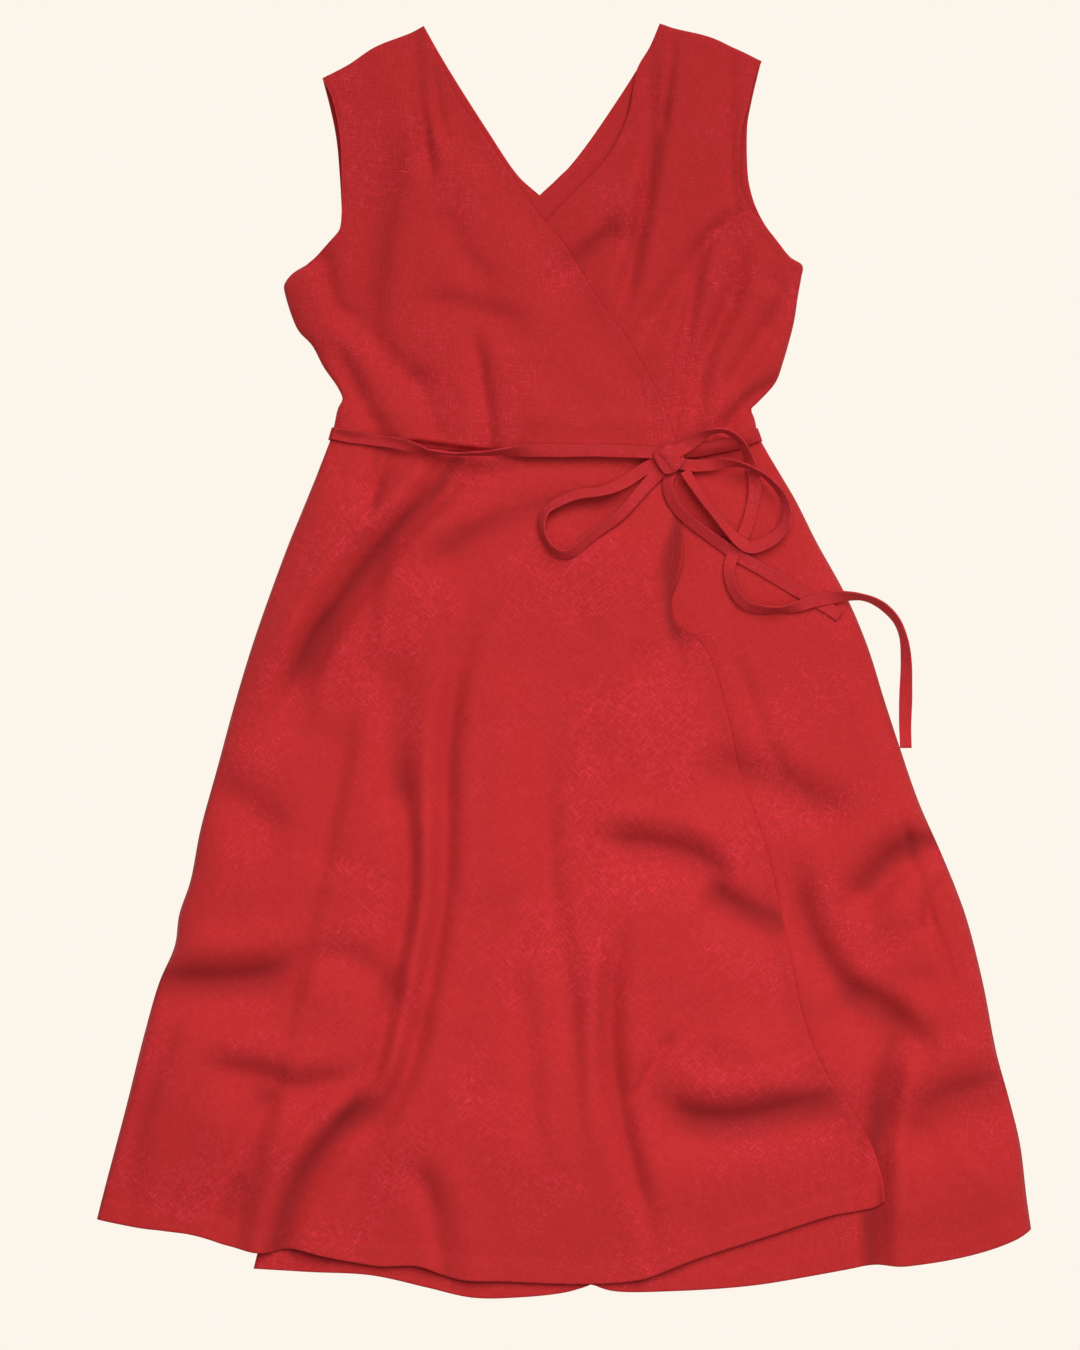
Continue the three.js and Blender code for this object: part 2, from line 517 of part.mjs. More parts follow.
// A strip of the tie that lies over the cloth along a table's line
function bowStrip(name, rows) {
  const line = spline(rows);
  const lift = new THREE.CatmullRomCurve3(
    rows.map((row) => new THREE.Vector3(row.lift, row.roll, 0)), false, 'centripetal');
  const count = Math.round(line.getLength() / STRIP_STEP);
  const stations = evenly(count).map((share) => {
    const at = line.getUtoTmapping(share);
    const middle = line.getPoint(at);
    const direction = line.getTangent(at);
    const [height, roll] = lift.getPoint(at).toArray();
    const tilt = THREE.MathUtils.degToRad(roll);
    const level = new THREE.Vector3(-direction.y, direction.x, 0);
    const wide = level.clone().multiplyScalar((Math.cos(tilt) * TIE_WIDTH) / 2);
    wide.z = (Math.sin(tilt) * TIE_WIDTH) / 2;
    const thick = new THREE.Vector3().crossVectors(wide, direction).setLength(TIE_CLOTH / 2);
    const reach = UNDER_STRIP.across.flatMap((k) => UNDER_STRIP.along.map((m) => clothTop(
      middle.x + level.x * k + direction.x * m, middle.y + level.y * k + direction.y * m)));
    const below = Math.max(...reach) + Math.max(height, 0) + AT_REST;
    middle.z = below + Math.abs(wide.z) + Math.abs(thick.z);
    return { middle, wide, thick };
  });
  return strip(name, stations, TIE_RED);
}

// The tie round the waist. Its front parts lie on the cloth, and the back part passes beneath
// the dress and turns up at both sides.
function waistStation(x, z, thickX, thickZ, slant = 0) {
  const wide = new THREE.Vector3(slant, TIE_WIDTH / 2, 0);
  const thick = new THREE.Vector3(thickX, 0, thickZ).setLength(TIE_CLOTH / 2);
  return { middle: new THREE.Vector3(x, waistY(x), z), wide, thick };
}
const TIE_RISE = 0.35;
function overWaist(x) {
  const tops = [-1, -0.5, 0, 0.5, 1].flatMap((k) => [-3.5, 0, 3.5].map((near) =>
    clothTop(x + near, waistY(x) + k * TIE_WIDTH * 0.5)));
  return Math.max(...tops) + TIE_RISE + TIE_CLOTH / 2;
}
function waistStrip(name, from, to, count) {
  const stations = evenly(count).map((share) => {
    const x = lerp(from, to, share);
    return waistStation(x, overWaist(x), 0, -1);
  });
  return strip(name, stations, TIE_RED);
}
const SIDE_CLEAR = 1.2; // from the dress's side to the middle of the tie that turns round it
const LAP = 6; // how far the turned end lies on the front
const LAP_END = LAP + 3; // where the front part of the tie takes over
function turnedTie() {
  const under = TIE_CLOTH / 2;
  const turn = (end, out, bodiceX, skirtX) => {
    const [upper, lower] = [bodiceX(end.y + TIE_WIDTH / 2), skirtX(end.y - TIE_WIDTH / 2)];
    const slant = (upper - lower) / 2;
    const x = (upper + lower) / 2;
    const side = x + out * SIDE_CLEAR;
    const over = overWaist(x - out * LAP / 2);
    return [
      waistStation(x - out * 2, under, 0, -1, slant),
      waistStation(side - out * 0.35, under + 0.35, out, -1, slant),
      waistStation(side, under + 1.1, out, 0, slant),
      waistStation(side, over - 1.1, out, 0, slant),
      waistStation(side - out * 0.35, over - 0.35, out, 1, slant),
      waistStation(x - out * 1.2, over, 0, 1, slant),
      waistStation(x - out * LAP, over, 0, 1, slant),
    ];
  };
  const [left, right] = [WAIST[0], WAIST.at(-1)];
  const middle = evenly(12).slice(1, -1).map((share) =>
    waistStation(lerp(left.x, right.x, share), under, 0, -1));
  const stations = [
    ...turn(left, -1, bodiceLeftX, skirtLeftX).reverse(), ...middle,
    ...turn(right, 1, bodiceRightX, skirtRightX),
  ];
  return strip('tie_waist_back', stations, TIE_RED);
}

function knot() {
  const curve = new THREE.CatmullRomCurve3(KNOT_OUTLINE.map(vector), true, 'centripetal');
  const outline = curve.getSpacedPoints(KNOT_POINTS).slice(0, -1);
  const middle = outline.reduce((sum, p) => sum.add(p), new THREE.Vector3());
  middle.divideScalar(KNOT_POINTS);
  const base = Math.max(...outline.map((p) => clothTop(p.x, p.y))) + SEAM_GAP;
  const points = KNOT_RINGS.flatMap(({ height, share }) => outline.map((p) => {
    const point = middle.clone().lerp(p, share);
    point.z = base + height;
    return point;
  }));
  const faces = [];
  const top = points.length - KNOT_POINTS;
  for (let i = 0; i < KNOT_POINTS; i++) {
    const next = (i + 1) % KNOT_POINTS;
    for (let ring = 0; ring < top; ring += KNOT_POINTS) {
      const [a, b] = [ring + i, ring + next];
      faces.push(a, a + KNOT_POINTS, b, b, a + KNOT_POINTS, b + KNOT_POINTS);
    }
    faces.push(i, next, points.length, top + next, top + i, points.length + 1);
  }
  points.push(middle.clone().setZ(base), middle.clone().setZ(base + KNOT_RINGS.at(-1).height));
  return solid('bow_knot', points, faces, TIE_RED);
}

const dress = new THREE.Group();
dress.add(
  ...panels,
  turnedTie(),
  waistStrip('tie_waist_left', WAIST[0].x + LAP_END, KNOT_OUTLINE[0].x - KNOT_SIDE, 44),
  waistStrip('tie_waist_right', KNOT_OUTLINE[4].x + KNOT_SIDE, WAIST.at(-1).x - LAP_END, 12),
  bowStrip('bow_short_tail', SHORT_TAIL),
  bowStrip('bow_long_tail', LONG_TAIL),
  bowStrip('bow_left_loop', LEFT_LOOP),
  bowStrip('bow_right_loop', RIGHT_LOOP),
  knot(),
);

export default dress;
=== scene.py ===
# %% [markdown]
# A sleeveless wrap dress in red linen, laid on its back and seen from straight above. The
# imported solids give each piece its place. This script lays finer cloth on them: the same
# panels with many more folds, their hems and stitches, the woven linen, and the tie's bow.

# %% Load the solids
import math

import bmesh
import bpy
import numpy as np
from mathutils import Matrix, Vector, noise


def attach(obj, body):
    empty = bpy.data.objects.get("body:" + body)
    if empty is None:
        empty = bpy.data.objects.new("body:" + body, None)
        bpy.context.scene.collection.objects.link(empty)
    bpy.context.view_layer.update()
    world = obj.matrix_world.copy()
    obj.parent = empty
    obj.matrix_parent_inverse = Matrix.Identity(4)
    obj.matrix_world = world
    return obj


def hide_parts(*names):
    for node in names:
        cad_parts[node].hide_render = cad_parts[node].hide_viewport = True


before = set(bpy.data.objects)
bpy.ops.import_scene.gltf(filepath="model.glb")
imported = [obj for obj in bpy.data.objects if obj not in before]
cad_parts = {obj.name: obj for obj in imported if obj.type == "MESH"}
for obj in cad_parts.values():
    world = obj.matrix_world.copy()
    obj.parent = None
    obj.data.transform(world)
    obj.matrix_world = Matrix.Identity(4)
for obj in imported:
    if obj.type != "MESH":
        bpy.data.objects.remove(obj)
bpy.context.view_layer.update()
MM = 0.001
print("solids:", sorted(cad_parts))

# %% [markdown]
# Sizes are in millimetres, as a pattern cutter writes them. The linen is thin, but each panel's
# edge is turned under twice and pressed, so a wall of a little over a millimetre looks right.

# %% Sizes of the cloth and the tie
CLOTH = 1.3
SEAM_GAP = 0.3
WAIST_GAP = 0.6
LAYER_GAP = 1.0
TIE_WIDTH = 11.0
TIE_CLOTH = 1.5
HEM = 17.0  # depth of the skirt's hem
NECK_HEM = 9.0  # depth of the turned edges at the neck and the free edge
ARMHOLE_STITCH = 2.5  # how far inside the armhole's edge its stitches run

# How far the fronts stand off what they lie on, and over which distances they rise to that
SKIRT_LOFT = 17.0
BODICE_LOFT = 11.0
UNDER_LOFT = 15.0  # the left front, where the right front doesn't cover it
UNDER_FLAT = 0.28  # share of its loft that the left front keeps where it is covered
WAIST_LOFT = 2.2  # where the tie holds the cloth down
LEAST_LOFT = 1.6  # at the bottom of the deepest fold
FOLD_SOFTNESS = 1.4  # how gently a fold bottoms out there
FOLD_FADE = 0.22  # share of a fold's length over which each of its ends runs out
SEAM_ROUND = 34.0  # from a sewn edge
SHOULDER_RUN = 110.0  # from a shoulder seam
SKIRT_DIP = 70.0  # down from the tie
EDGE_BLEND = 60.0  # from a loose edge
HEM_RUN = 140.0  # from the right front's hem
STEP_RUN = 20.0  # how soon the right front comes down past the left front's free edge
FRONT_SPREAD = 16.0  # how much wider than the back's the fronts' rise over the tie is
ARMPIT_Y = 345.0
ARMHOLE_RUN = 45.0  # height over the armpit within which front and back come apart
NOTCH_X = 25.0  # where the left front's hem is nicked


def table(columns, *rows):
    """The rows of a small table, as dictionaries keyed by the columns' names."""
    names = columns.split()
    return [dict(zip(names, row)) for row in rows]


print("cloth", CLOTH, "mm thick, tie", TIE_WIDTH, "mm wide, skirt lofted by", SKIRT_LOFT, "mm")

# %% [markdown]
# The outline of each panel is a smooth curve through a few points, read across (x) and up (y)
# the dress from its middle. Curves that two panels share are sewn together there.

# %% Outlines of the panels
SIDE_SEAM_LEFT = table(
    "x y",
    (-209, 375), (-226, 358), (-244, 347), (-251, 337), (-250, 329), (-244, 309), (-238, 296),
    (-226, 283), (-216, 264), (-203, 245), (-199, 235), (-203, 227), (-206, 214), (-208, 204),
)
SIDE_SEAM_RIGHT = table(
    "x y",
    (214, 355), (213, 345), (210, 328), (207, 307), (203, 290), (197, 269), (190, 250),
    (172, 230), (168, 226), (171, 218), (174, 203),
)
BACK_SIDE_LEFT = table(
    "x y", (-217, 523), (-210, 496), (-205, 471), (-202, 440), (-200, 397), (-201, 386)
) + SIDE_SEAM_LEFT
BACK_SIDE_RIGHT = table(
    "x y",
    (177, 537), (172, 517), (168, 499), (165, 482), (165, 442), (167, 426), (172, 409),
    (180, 393), (191, 378), (203, 363),
) + SIDE_SEAM_RIGHT
FRONT_SIDE_LEFT = table(
    "x y",
    (-215, 522), (-208, 508), (-203, 490), (-199, 464), (-198, 430), (-198, 398), (-200, 386),
) + SIDE_SEAM_LEFT
FRONT_SIDE_RIGHT = table(
    "x y",
    (176, 538), (170, 524), (164, 500), (158, 475), (156, 449), (156, 424), (163, 408),
    (174, 395), (187, 380), (202, 363),
) + SIDE_SEAM_RIGHT
SHOULDER_LEFT = table("x y", (-217, 523), (-194, 535), (-170, 551), (-139, 564), (-126, 571))
SHOULDER_RIGHT = table("x y", (86, 573), (101, 568), (130, 560), (161, 546), (177, 538))
BACK_NECK_LEFT = table("x y", (-126, 571), (-109, 541), (-70, 479), (-40, 435), (-22, 419))
BACK_NECK_RIGHT = table("x y", (-22, 419), (6, 446), (45, 500), (77, 552), (86, 573))
OVER_NECK = table(
    "x y",
    (-126, 571), (-109, 533), (-97, 508), (-70, 470), (-20, 398), (4, 369), (26, 332),
    (58, 287), (77, 254), (94, 219), (101, 189),
)
UNDER_NECK = table(
    "x y",
    (86, 573), (77, 552), (66, 533), (62, 514), (57, 489), (38, 452), (6, 418), (-9, 402),
    (-58, 347), (-103, 280), (-125, 226), (-134, 193),
)
# How far over the waist seam the bodice's lower edge hangs, which is most where the tie twists
BODICE_LIP = table(
    "x rise",
    (-208, 1.5), (-152, 1.5), (-130, 6.5), (-108, 6), (-88, 4.5), (-60, 2), (-40, 0.5),
    (101, 0.5), (174, 1.5),
)
# Share of its loft that the right front keeps at its hem, which is more beside deep folds
HEM_LIFT = table(
    "x share",
    (-420, 0.3), (-290, 0.45), (-262, 0.75), (-228, 0.7), (-185, 0.34), (-135, 0.34), (-112, 0.55),
    (-92, 0.5), (-60, 0.3), (50, 0.28), (72, 0.5), (92, 0.45), (125, 0.26), (270, 0.26),
)
WAIST = table(
    "x y",
    (-208, 204), (-169, 198), (-130, 192), (-89, 188), (0, 188), (79, 187), (104, 187),
    (131, 190), (158, 196), (174, 203),
)
SKIRT_SIDE_LEFT = table(
    "x y",
    (-208, 204), (-222, 168), (-235, 136), (-250, 99), (-278, 21), (-294, -31), (-312, -97),
    (-327, -152), (-336, -198), (-346, -228), (-350, -256), (-364, -289), (-377, -334),
    (-394, -402), (-413, -474), (-420, -502),
)
SKIRT_SIDE_RIGHT = table(
    "x y",
    (174, 203), (186, 182), (208, 145), (226, 109), (254, 58), (273, 13), (288, -35),
    (302, -78), (319, -127), (338, -170), (354, -209), (363, -235), (377, -291), (389, -353),
    (400, -393), (410, -434), (416, -483), (420, -511),
)
OVER_EDGE = table(
    "x y",
    (101, 188), (103, 145), (106, 96), (102, 77), (96, 55), (101, 33), (121, 18), (131, 2),
    (145, -43), (157, -97), (176, -152), (187, -192), (202, -263), (215, -322), (237, -374),
    (257, -400), (277, -436), (284, -458), (287, -485),
)
UNDER_EDGE = table("x y", (-134, 192), (-148, 60), (-190, -160), (-240, -390), (-279, -546))
OVER_HEM = table(
    "x y",
    (-420, -502), (-383, -509), (-331, -516), (-306, -524), (-266, -531), (-244, -527),
    (-210, -535), (-166, -543), (-131, -543), (-99, -554), (-49, -557), (25, -559), (68, -555),
    (112, -539), (180, -517), (243, -497), (279, -491), (287, -485),
)
UNDER_HEM_LEFT = table(
    "x y",
    (-279, -546), (-229, -549), (-173, -552), (-123, -563), (-83, -572), (-43, -572), (3, -567),
    (NOTCH_X, -560),
)
UNDER_HEM_RIGHT = table(
    "x y",
    (NOTCH_X, -560), (43, -566), (103, -566), (171, -561), (226, -552), (276, -543),
    (313, -542), (369, -532), (406, -519), (420, -511),
)
UNDER_HEM = UNDER_HEM_LEFT + UNDER_HEM_RIGHT[1:]
BACK_NECK = BACK_NECK_LEFT + BACK_NECK_RIGHT[1:]
BACK_HEM = table(
    "x y",
    (-420, -502), (-331, -511), (-210, -530), (-30, -552), (150, -550), (300, -534), (420, -511),
)
print("hem", BACK_HEM[-1]["x"] - BACK_HEM[0]["x"], "mm wide")

# %% [markdown]
# Cloth that is laid down by hand keeps a few dozen folds. Each row below is one fold, as the
# line of its bottom, read off the photograph in its pixels. depth is in millimetres, positive
# for a trough and negative for a ridge. near is its half width towards the hem and the left,
# far its half width the other way, and rim is how much the cloth stands up beyond far.

# %% Folds of the skirt
PIXEL = 0.9  # millimetres of the dress to a pixel of the photograph
PIXEL_MIDDLE = (564, 661)  # the dress's middle there

OVER_FOLDS = table(
    "depth near far rim path",
    (16, 12, 12, 0, ((500, 412), (464, 458), (432, 501), (411, 522), (388, 549), (366, 576),
        (344, 606), (312, 655), (288, 702), (262, 768))),
    (-7, 13, 13, 0, ((490, 385), (448, 435), (410, 480), (389, 501), (361, 529), (339, 551),
        (319, 580), (289, 630), (274, 670), (254, 725))),
    (9, 8, 8, 0, ((384, 400), (379, 450), (375, 485), (366, 530))),
    (11, 24, 16, 1, ((410, 600), (450, 558), (490, 530), (540, 512), (600, 506), (670, 510))),
    (8, 22, 24, 0, ((388, 640), (396, 735), (402, 830))),
    (9, 10, 10, 1, ((399, 700), (403, 780), (409, 850), (408, 900), (399, 950), (389, 1000),
        (380, 1050), (364, 1095), (336, 1160))),
    (9.5, 10.5, 9.5, 1.5, ((510, 585), (468, 640), (453, 700), (447, 760), (446, 820), (444, 880),
        (438, 930), (428, 985), (416, 1040), (399, 1090), (376, 1145),
        (350, 1212))),
    (-4, 10, 10, 0, ((428, 680), (426, 800), (427, 860), (420, 930), (408, 990), (396, 1050),
        (372, 1120))),
    (17, 14, 14, 0, ((390, 1088), (362, 1112), (334, 1140), (309, 1172), (292, 1204), (278, 1246),
        (268, 1310), (262, 1400))),
    (-7, 12, 12, 0, ((384, 1060), (348, 1091), (317, 1122), (291, 1157), (276, 1195),
        (262, 1235), (250, 1300), (244, 1340))),
    (10, 12, 13, 2, ((405, 1150), (430, 1198), (440, 1235), (446, 1270), (450, 1340))),
    (5, 9, 9, 0.5, ((398, 1070), (372, 1130), (345, 1205))),
    (13, 32, 16, 5, ((110, 970), (165, 980), (215, 982), (255, 980), (320, 970))),
    (4.5, 18, 13, 1, ((262, 975), (310, 958), (350, 958), (380, 978), (402, 1010), (414, 1060))),
    (8, 26, 13, 2.5, ((180, 1062), (235, 1072), (262, 1076), (295, 1086), (335, 1082),
        (390, 1068))),
    (7, 24, 17, 1, ((200, 775), (240, 802), (290, 845))),
    (8, 11, 11, 1, ((186, 1000), (152, 1080), (137, 1140), (120, 1250))),
    (7, 15, 14, 1, ((276, 1085), (256, 1120), (239, 1165), (216, 1280))),
    (5, 11, 11, 1, ((554, 715), (547, 810), (549, 870), (555, 920), (563, 970), (570, 1030),
        (572, 1110))),
    (11, 10, 10, 1, ((632, 905), (614, 965), (609, 1010), (612, 1060), (620, 1110), (632, 1165),
        (644, 1210), (658, 1320))),
    (-4, 10, 10, 0, ((601, 915), (592, 1000), (590, 1080), (599, 1170))),
    (5, 5, 5, 0, ((675, 1026), (650, 1068), (625, 1108))),
    (14, 32, 16, 5, ((630, 1082), (690, 1117), (740, 1120), (780, 1112), (815, 1102),
        (880, 1070))),
    (11, 30, 14, 4, ((576, 842), (640, 846), (682, 854), (712, 868), (738, 890))),
    (13.5, 26, 14, 4, ((698, 886), (734, 906), (768, 920), (806, 930))),
    (7, 34, 24, 0, ((622, 662), (656, 660), (694, 664))),
    (9, 26, 18, 1, ((680, 770), (730, 780), (775, 792), (830, 812))),
    (16, 10, 12, 0, ((692, 470), (677, 535), (668, 580), (670, 612), (681, 668))),
    (4, 12, 12, 0, ((330, 600), (312, 680), (296, 760))),
    (4, 20, 20, 0, ((344, 710), (335, 800), (326, 890))),
    (-4, 26, 24, 0, ((510, 650), (500, 780), (500, 920))),
    (-4, 34, 30, 0, ((606, 510), (622, 620), (626, 780))),
    (-4, 22, 20, 0, ((700, 1020), (760, 1045), (830, 1030))),
    (3.5, 5, 5, 0, ((180, 1180), (168, 1212), (150, 1245))),
    (3.5, 5, 5, 0, ((206, 1180), (194, 1214), (178, 1250))),
    (5, 8, 8, 0, ((246, 1170), (226, 1214), (204, 1262))),
    (4, 12, 12, 0, ((520, 960), (528, 1060), (540, 1180))),
)
UNDER_FOLDS = table(
    "depth near far rim path",
    (10, 28, 18, 1, ((690, 765), (735, 772), (775, 784), (820, 806), (850, 832))),
    (8, 26, 15, 3, ((820, 990), (860, 1020), (895, 1038), (945, 1050))),
    (2.5, 9, 7, 0.5, ((728, 640), (750, 702), (764, 738), (800, 798))),
    (12, 16, 13, 1, ((784, 822), (798, 893), (813, 940), (842, 983), (878, 1003), (903, 1024),
        (916, 1080))),
    (14, 17, 15, 4, ((845, 925), (870, 884), (900, 856), (935, 842), (980, 836))),
    (11, 46, 16, 3, ((1034, 1070), (975, 1090), (932, 1110), (892, 1165))),
    (17, 14, 14, 0, ((900, 1030), (886, 1080), (877, 1130), (871, 1180), (871, 1250),
        (875, 1430))),
    (-7, 12, 12, 0, ((922, 980), (908, 1050), (900, 1120), (895, 1180), (895, 1250),
        (899, 1370))),
    (4.5, 7, 8, 1, ((845, 640), (872, 700), (892, 742), (912, 810))),
    (4.5, 5, 5, 0, ((893, 790), (906, 835), (916, 872), (928, 915), (944, 960), (958, 1010))),
    (5, 6, 8, 0, ((943, 872), (930, 902), (922, 942))),
    (-4, 22, 22, 0, ((880, 880), (905, 930), (912, 980))),
)

print("folds of the skirt:", len(OVER_FOLDS), "on the right front,", len(UNDER_FOLDS), "on the left")

# %% [markdown]
# The bodice has fewer and shorter folds. They fan out from the shoulders, and from the waist,
# where the tie gathers the cloth. Their rows could be in the skirt's tables, but a panel takes
# a table as it is, so each panel has its own.

# %% Folds of the bodice
OVER_BODICE_FOLDS = table(
    "depth near far rim path",
    (9, 7, 7, 0.5, ((412, -110), (418, 0), (420, 80), (424, 135), (434, 200))),
    (7, 5, 5, 0, ((436, -40), (435, 50), (438, 100), (448, 150))),
    (10, 14, 13, 1, ((402, 120), (385, 200), (377, 245), (371, 290), (366, 350))),
    (6, 10, 10, 0, ((320, 245), (326, 275), (336, 305), (352, 330))),
    (5.5, 12, 12, 0, ((340, 300), (372, 340), (404, 372), (440, 400))),
    (5.5, 19, 12, 0.5, ((410, 302), (460, 308), (495, 318), (540, 334))),
    (6, 8, 8, 1, ((472, 320), (478, 362), (484, 398), (490, 458), (494, 500))),
    (8, 10, 10, 1, ((330, 335), (350, 380), (367, 412), (385, 445), (402, 480))),
    (3.5, 13, 11, 0.5, ((441, 205), (465, 258), (501, 294))),
    (3, 10, 10, 0, ((405, 370), (425, 400), (440, 450))),
    (-3, 22, 18, 0, ((505, 340), (520, 390), (560, 420))),
)
UNDER_BODICE_FOLDS = table(
    "depth near far rim path",
    (9.5, 8, 8, 1.5, ((648, -60), (653, 60), (651, 145), (646, 190), (637, 240), (627, 285),
        (614, 336))),
    (11.5, 18, 15, 2, ((520, 320), (560, 280), (584, 260), (606, 242), (632, 214))),
    (7, 10, 9, 0.5, ((772, 196), (722, 230), (697, 254), (676, 284), (658, 314), (628, 364))),
    (7.5, 7, 7, 1, ((706, 232), (691, 300), (684, 345), (677, 395), (670, 458))),
    (8.5, 9, 9, 1, ((744, 237), (731, 300), (714, 335), (700, 370), (691, 460))),
    (6.5, 11, 9, 1, ((793, 276), (766, 330), (746, 362), (720, 408))),
    (10, 10, 8, 1, ((792, 374), (748, 402), (715, 442))),
    (4, 12, 12, 0.5, ((814, 252), (790, 300), (765, 350))),
    (3, 6, 6, 0.5, ((731, -20), (729, 140), (735, 225))),
    (7, 5, 5, 0, ((668, -60), (671, 55), (665, 106), (661, 140))),
    (6, 14, 12, 0, ((825, 225), (790, 265), (765, 300))),
)
print("folds of the bodice:", len(OVER_BODICE_FOLDS) + len(UNDER_BODICE_FOLDS))

# %% [markdown]
# Three helpers turn a table into a curve: one draws a smooth line through its points, one
# finds points at given shares of a line's length, and one measures how far a place is from it.

# %% Curves


def smooth_line(rows, samples=12):
    """A smooth line through a table's points, as short straight steps."""
    p = np.array([[row["x"], row["y"]] for row in rows], float)
    p = np.vstack([2 * p[0] - p[1], p, 2 * p[-1] - p[-2]])
    gap = np.linalg.norm(np.diff(p, axis=0), axis=1) ** 0.5
    share = np.linspace(0, 1, samples, endpoint=False)[:, None]
    steps = []
    for i in range(1, len(p) - 2):
        before, here, after = gap[i - 1 : i + 2]
        change = p[i + 1] - p[i]
        start = (p[i] - p[i - 1]) / before - (p[i + 1] - p[i - 1]) / (before + here)
        start = (start + change / here) * here
        end = change / here - (p[i + 2] - p[i]) / (here + after)
        end = (end + (p[i + 2] - p[i + 1]) / after) * here
        bend = (3 * change - 2 * start - end) * share**2
        steps.append(p[i] + start * share + bend + (start + end - 2 * change) * share**3)
    return np.vstack([*steps, p[-2:-1]])


def lengths_along(line):
    """How far along a line each of its points is."""
    return np.concatenate([[0], np.cumsum(np.linalg.norm(np.diff(line, axis=0), axis=1))])


def at_shares(line, shares):
    """The places at given shares of a line's length."""
    length = lengths_along(line)
    at = np.asarray(shares, float) * length[-1]
    return np.stack([np.interp(at, length, line[:, k]) for k in range(line.shape[1])], axis=-1)


def near_line(line, x, y):
    """Each place's distance from a line, its offset from it, and its share of the way along."""
    best = np.full(x.shape, 1e9)
    across, up, along = np.zeros(x.shape), np.zeros(x.shape), np.zeros(x.shape)
    for i, ((ax, ay), (bx, by)) in enumerate(zip(line[:-1], line[1:])):
        dx, dy = bx - ax, by - ay
        share = np.clip(((x - ax) * dx + (y - ay) * dy) / max(dx * dx + dy * dy, 1e-9), 0, 1)
        ox, oy = x - ax - share * dx, y - ay - share * dy
        distance = np.hypot(ox, oy)
        closer = distance < best
        best = np.where(closer, distance, best)
        across, up = np.where(closer, ox, across), np.where(closer, oy, up)
        along = np.where(closer, (i + share) / (len(line) - 1), along)
    return best, across, up, along


def lookup(rows, known, wanted):
    """A function that gives a curve's one coordinate where the other is known."""
    line = smooth_line(rows)
    line = line[np.argsort(line[:, "xy".index(known)], kind="stable")]
    return lambda value: np.interp(value, line[:, "xy".index(known)], line[:, "xy".index(wanted)])


def read_off(rows, column, x):
    """The value of a table's column at x, between its rows."""
    return np.interp(x, [row["x"] for row in rows], [row[column] for row in rows])


waist_y = lookup(WAIST, "x", "y")
bodice_left_x = lookup(BACK_SIDE_LEFT, "y", "x")
bodice_right_x = lookup(BACK_SIDE_RIGHT, "y", "x")
skirt_left_x = lookup(SKIRT_SIDE_LEFT, "y", "x")
skirt_right_x = lookup(SKIRT_SIDE_RIGHT, "y", "x")
shoulder_left_y = lookup(SHOULDER_LEFT, "x", "y")
shoulder_right_y = lookup(SHOULDER_RIGHT, "x", "y")
over_edge_x = lookup(OVER_NECK + OVER_EDGE[1:], "y", "x")
under_edge_x = lookup(UNDER_NECK + UNDER_EDGE[1:], "y", "x")
over_hem_y = lookup(OVER_HEM, "x", "y")
under_hem_y = lookup(UNDER_HEM, "x", "y")
back_hem_y = lookup(BACK_HEM, "x", "y")
print("waist seam", round(lengths_along(smooth_line(WAIST))[-1]), "mm long")

# %% [markdown]
# The dress lies on its back, so heights are worked out from the surface up: the back, then the
# wearer's left front, then the right front over it. Sewn edges lie tight together, loose edges
# rest on what is below them, and the cloth rises from both. Folds press into that loft and
# bottom out softly. Above the waist seam the bodice stands over the skirt.

# %% Shares and blends


def smooth(value, low, high):
    """From 0 at the low value to 1 at the high one, without a corner."""
    share = np.clip((value - low) / (high - low), 0, 1)
    return share * share * (3 - 2 * share)


def mix(a, b, share):
    """From a to b by a share of the way."""
    return a + (b - a) * share


def round_off(distance, radius=SEAM_ROUND):
    """A quarter round: 0 at a sewn edge, and 1 from the radius inwards."""
    share = np.clip(distance / radius, 0, 1)
    return np.sqrt(1 - (1 - share) ** 2)


def sides(x, y):
    """Whether a place is in the skirt, and its panel's left side, right side and shoulder."""
    in_skirt = y < waist_y(x)
    left = np.where(in_skirt, skirt_left_x(y), bodice_left_x(y))
    right = np.where(in_skirt, skirt_right_x(y), bodice_right_x(y))
    return in_skirt, left, right, np.where(x < 0, shoulder_left_y(x), shoulder_right_y(x))


def openness(x, y):
    """Share of their loft that the fronts have at a place: none along sewn edges."""
    in_skirt, left, right, shoulder = sides(x, y)
    at_armhole = smooth(y, ARMPIT_Y - 5, ARMPIT_Y + ARMHOLE_RUN)
    sewn = mix(round_off(x - left) * round_off(right - x), 1.0, at_armhole)
    at_shoulder = 0.5 + 0.5 * smooth(shoulder - y, -30, SHOULDER_RUN)
    return sewn * np.where(in_skirt, 1.0, at_shoulder)


def loose_share(distance, least, run=EDGE_BLEND):
    """Share of its loft that a front keeps so far from a loose edge."""
    return least + (1 - least) * smooth(distance, 0, run)


print("loft 10 mm from a sewn edge:", round(SKIRT_LOFT * float(round_off(10.0)), 1), "mm")

# %% [markdown]
# A fold is a trough whose depth falls off smoothly to both sides of its line and runs out at
# its ends. It could be a sculpted stroke, but as a formula it stays where the table puts it.
# Linen also keeps a faint crumple all over, which three sizes of noise give.

# %% Folds and crumple
FAR_WAY = (0.55, 0.84)  # towards the wearer's left and the shoulders
FOLD_REACH = 3.5  # half widths beyond which a fold does nothing
RIM_PLACE = 2.1  # half widths from a fold's line to the middle of its rim
RIM_NEAR = 0.4  # share of the rim that stands up on the near side too
CRUMPLES = table("height wide long slice", (0.8, 85, 110, 0), (0.45, 34, 46, 7), (0.16, 15, 19, 3))


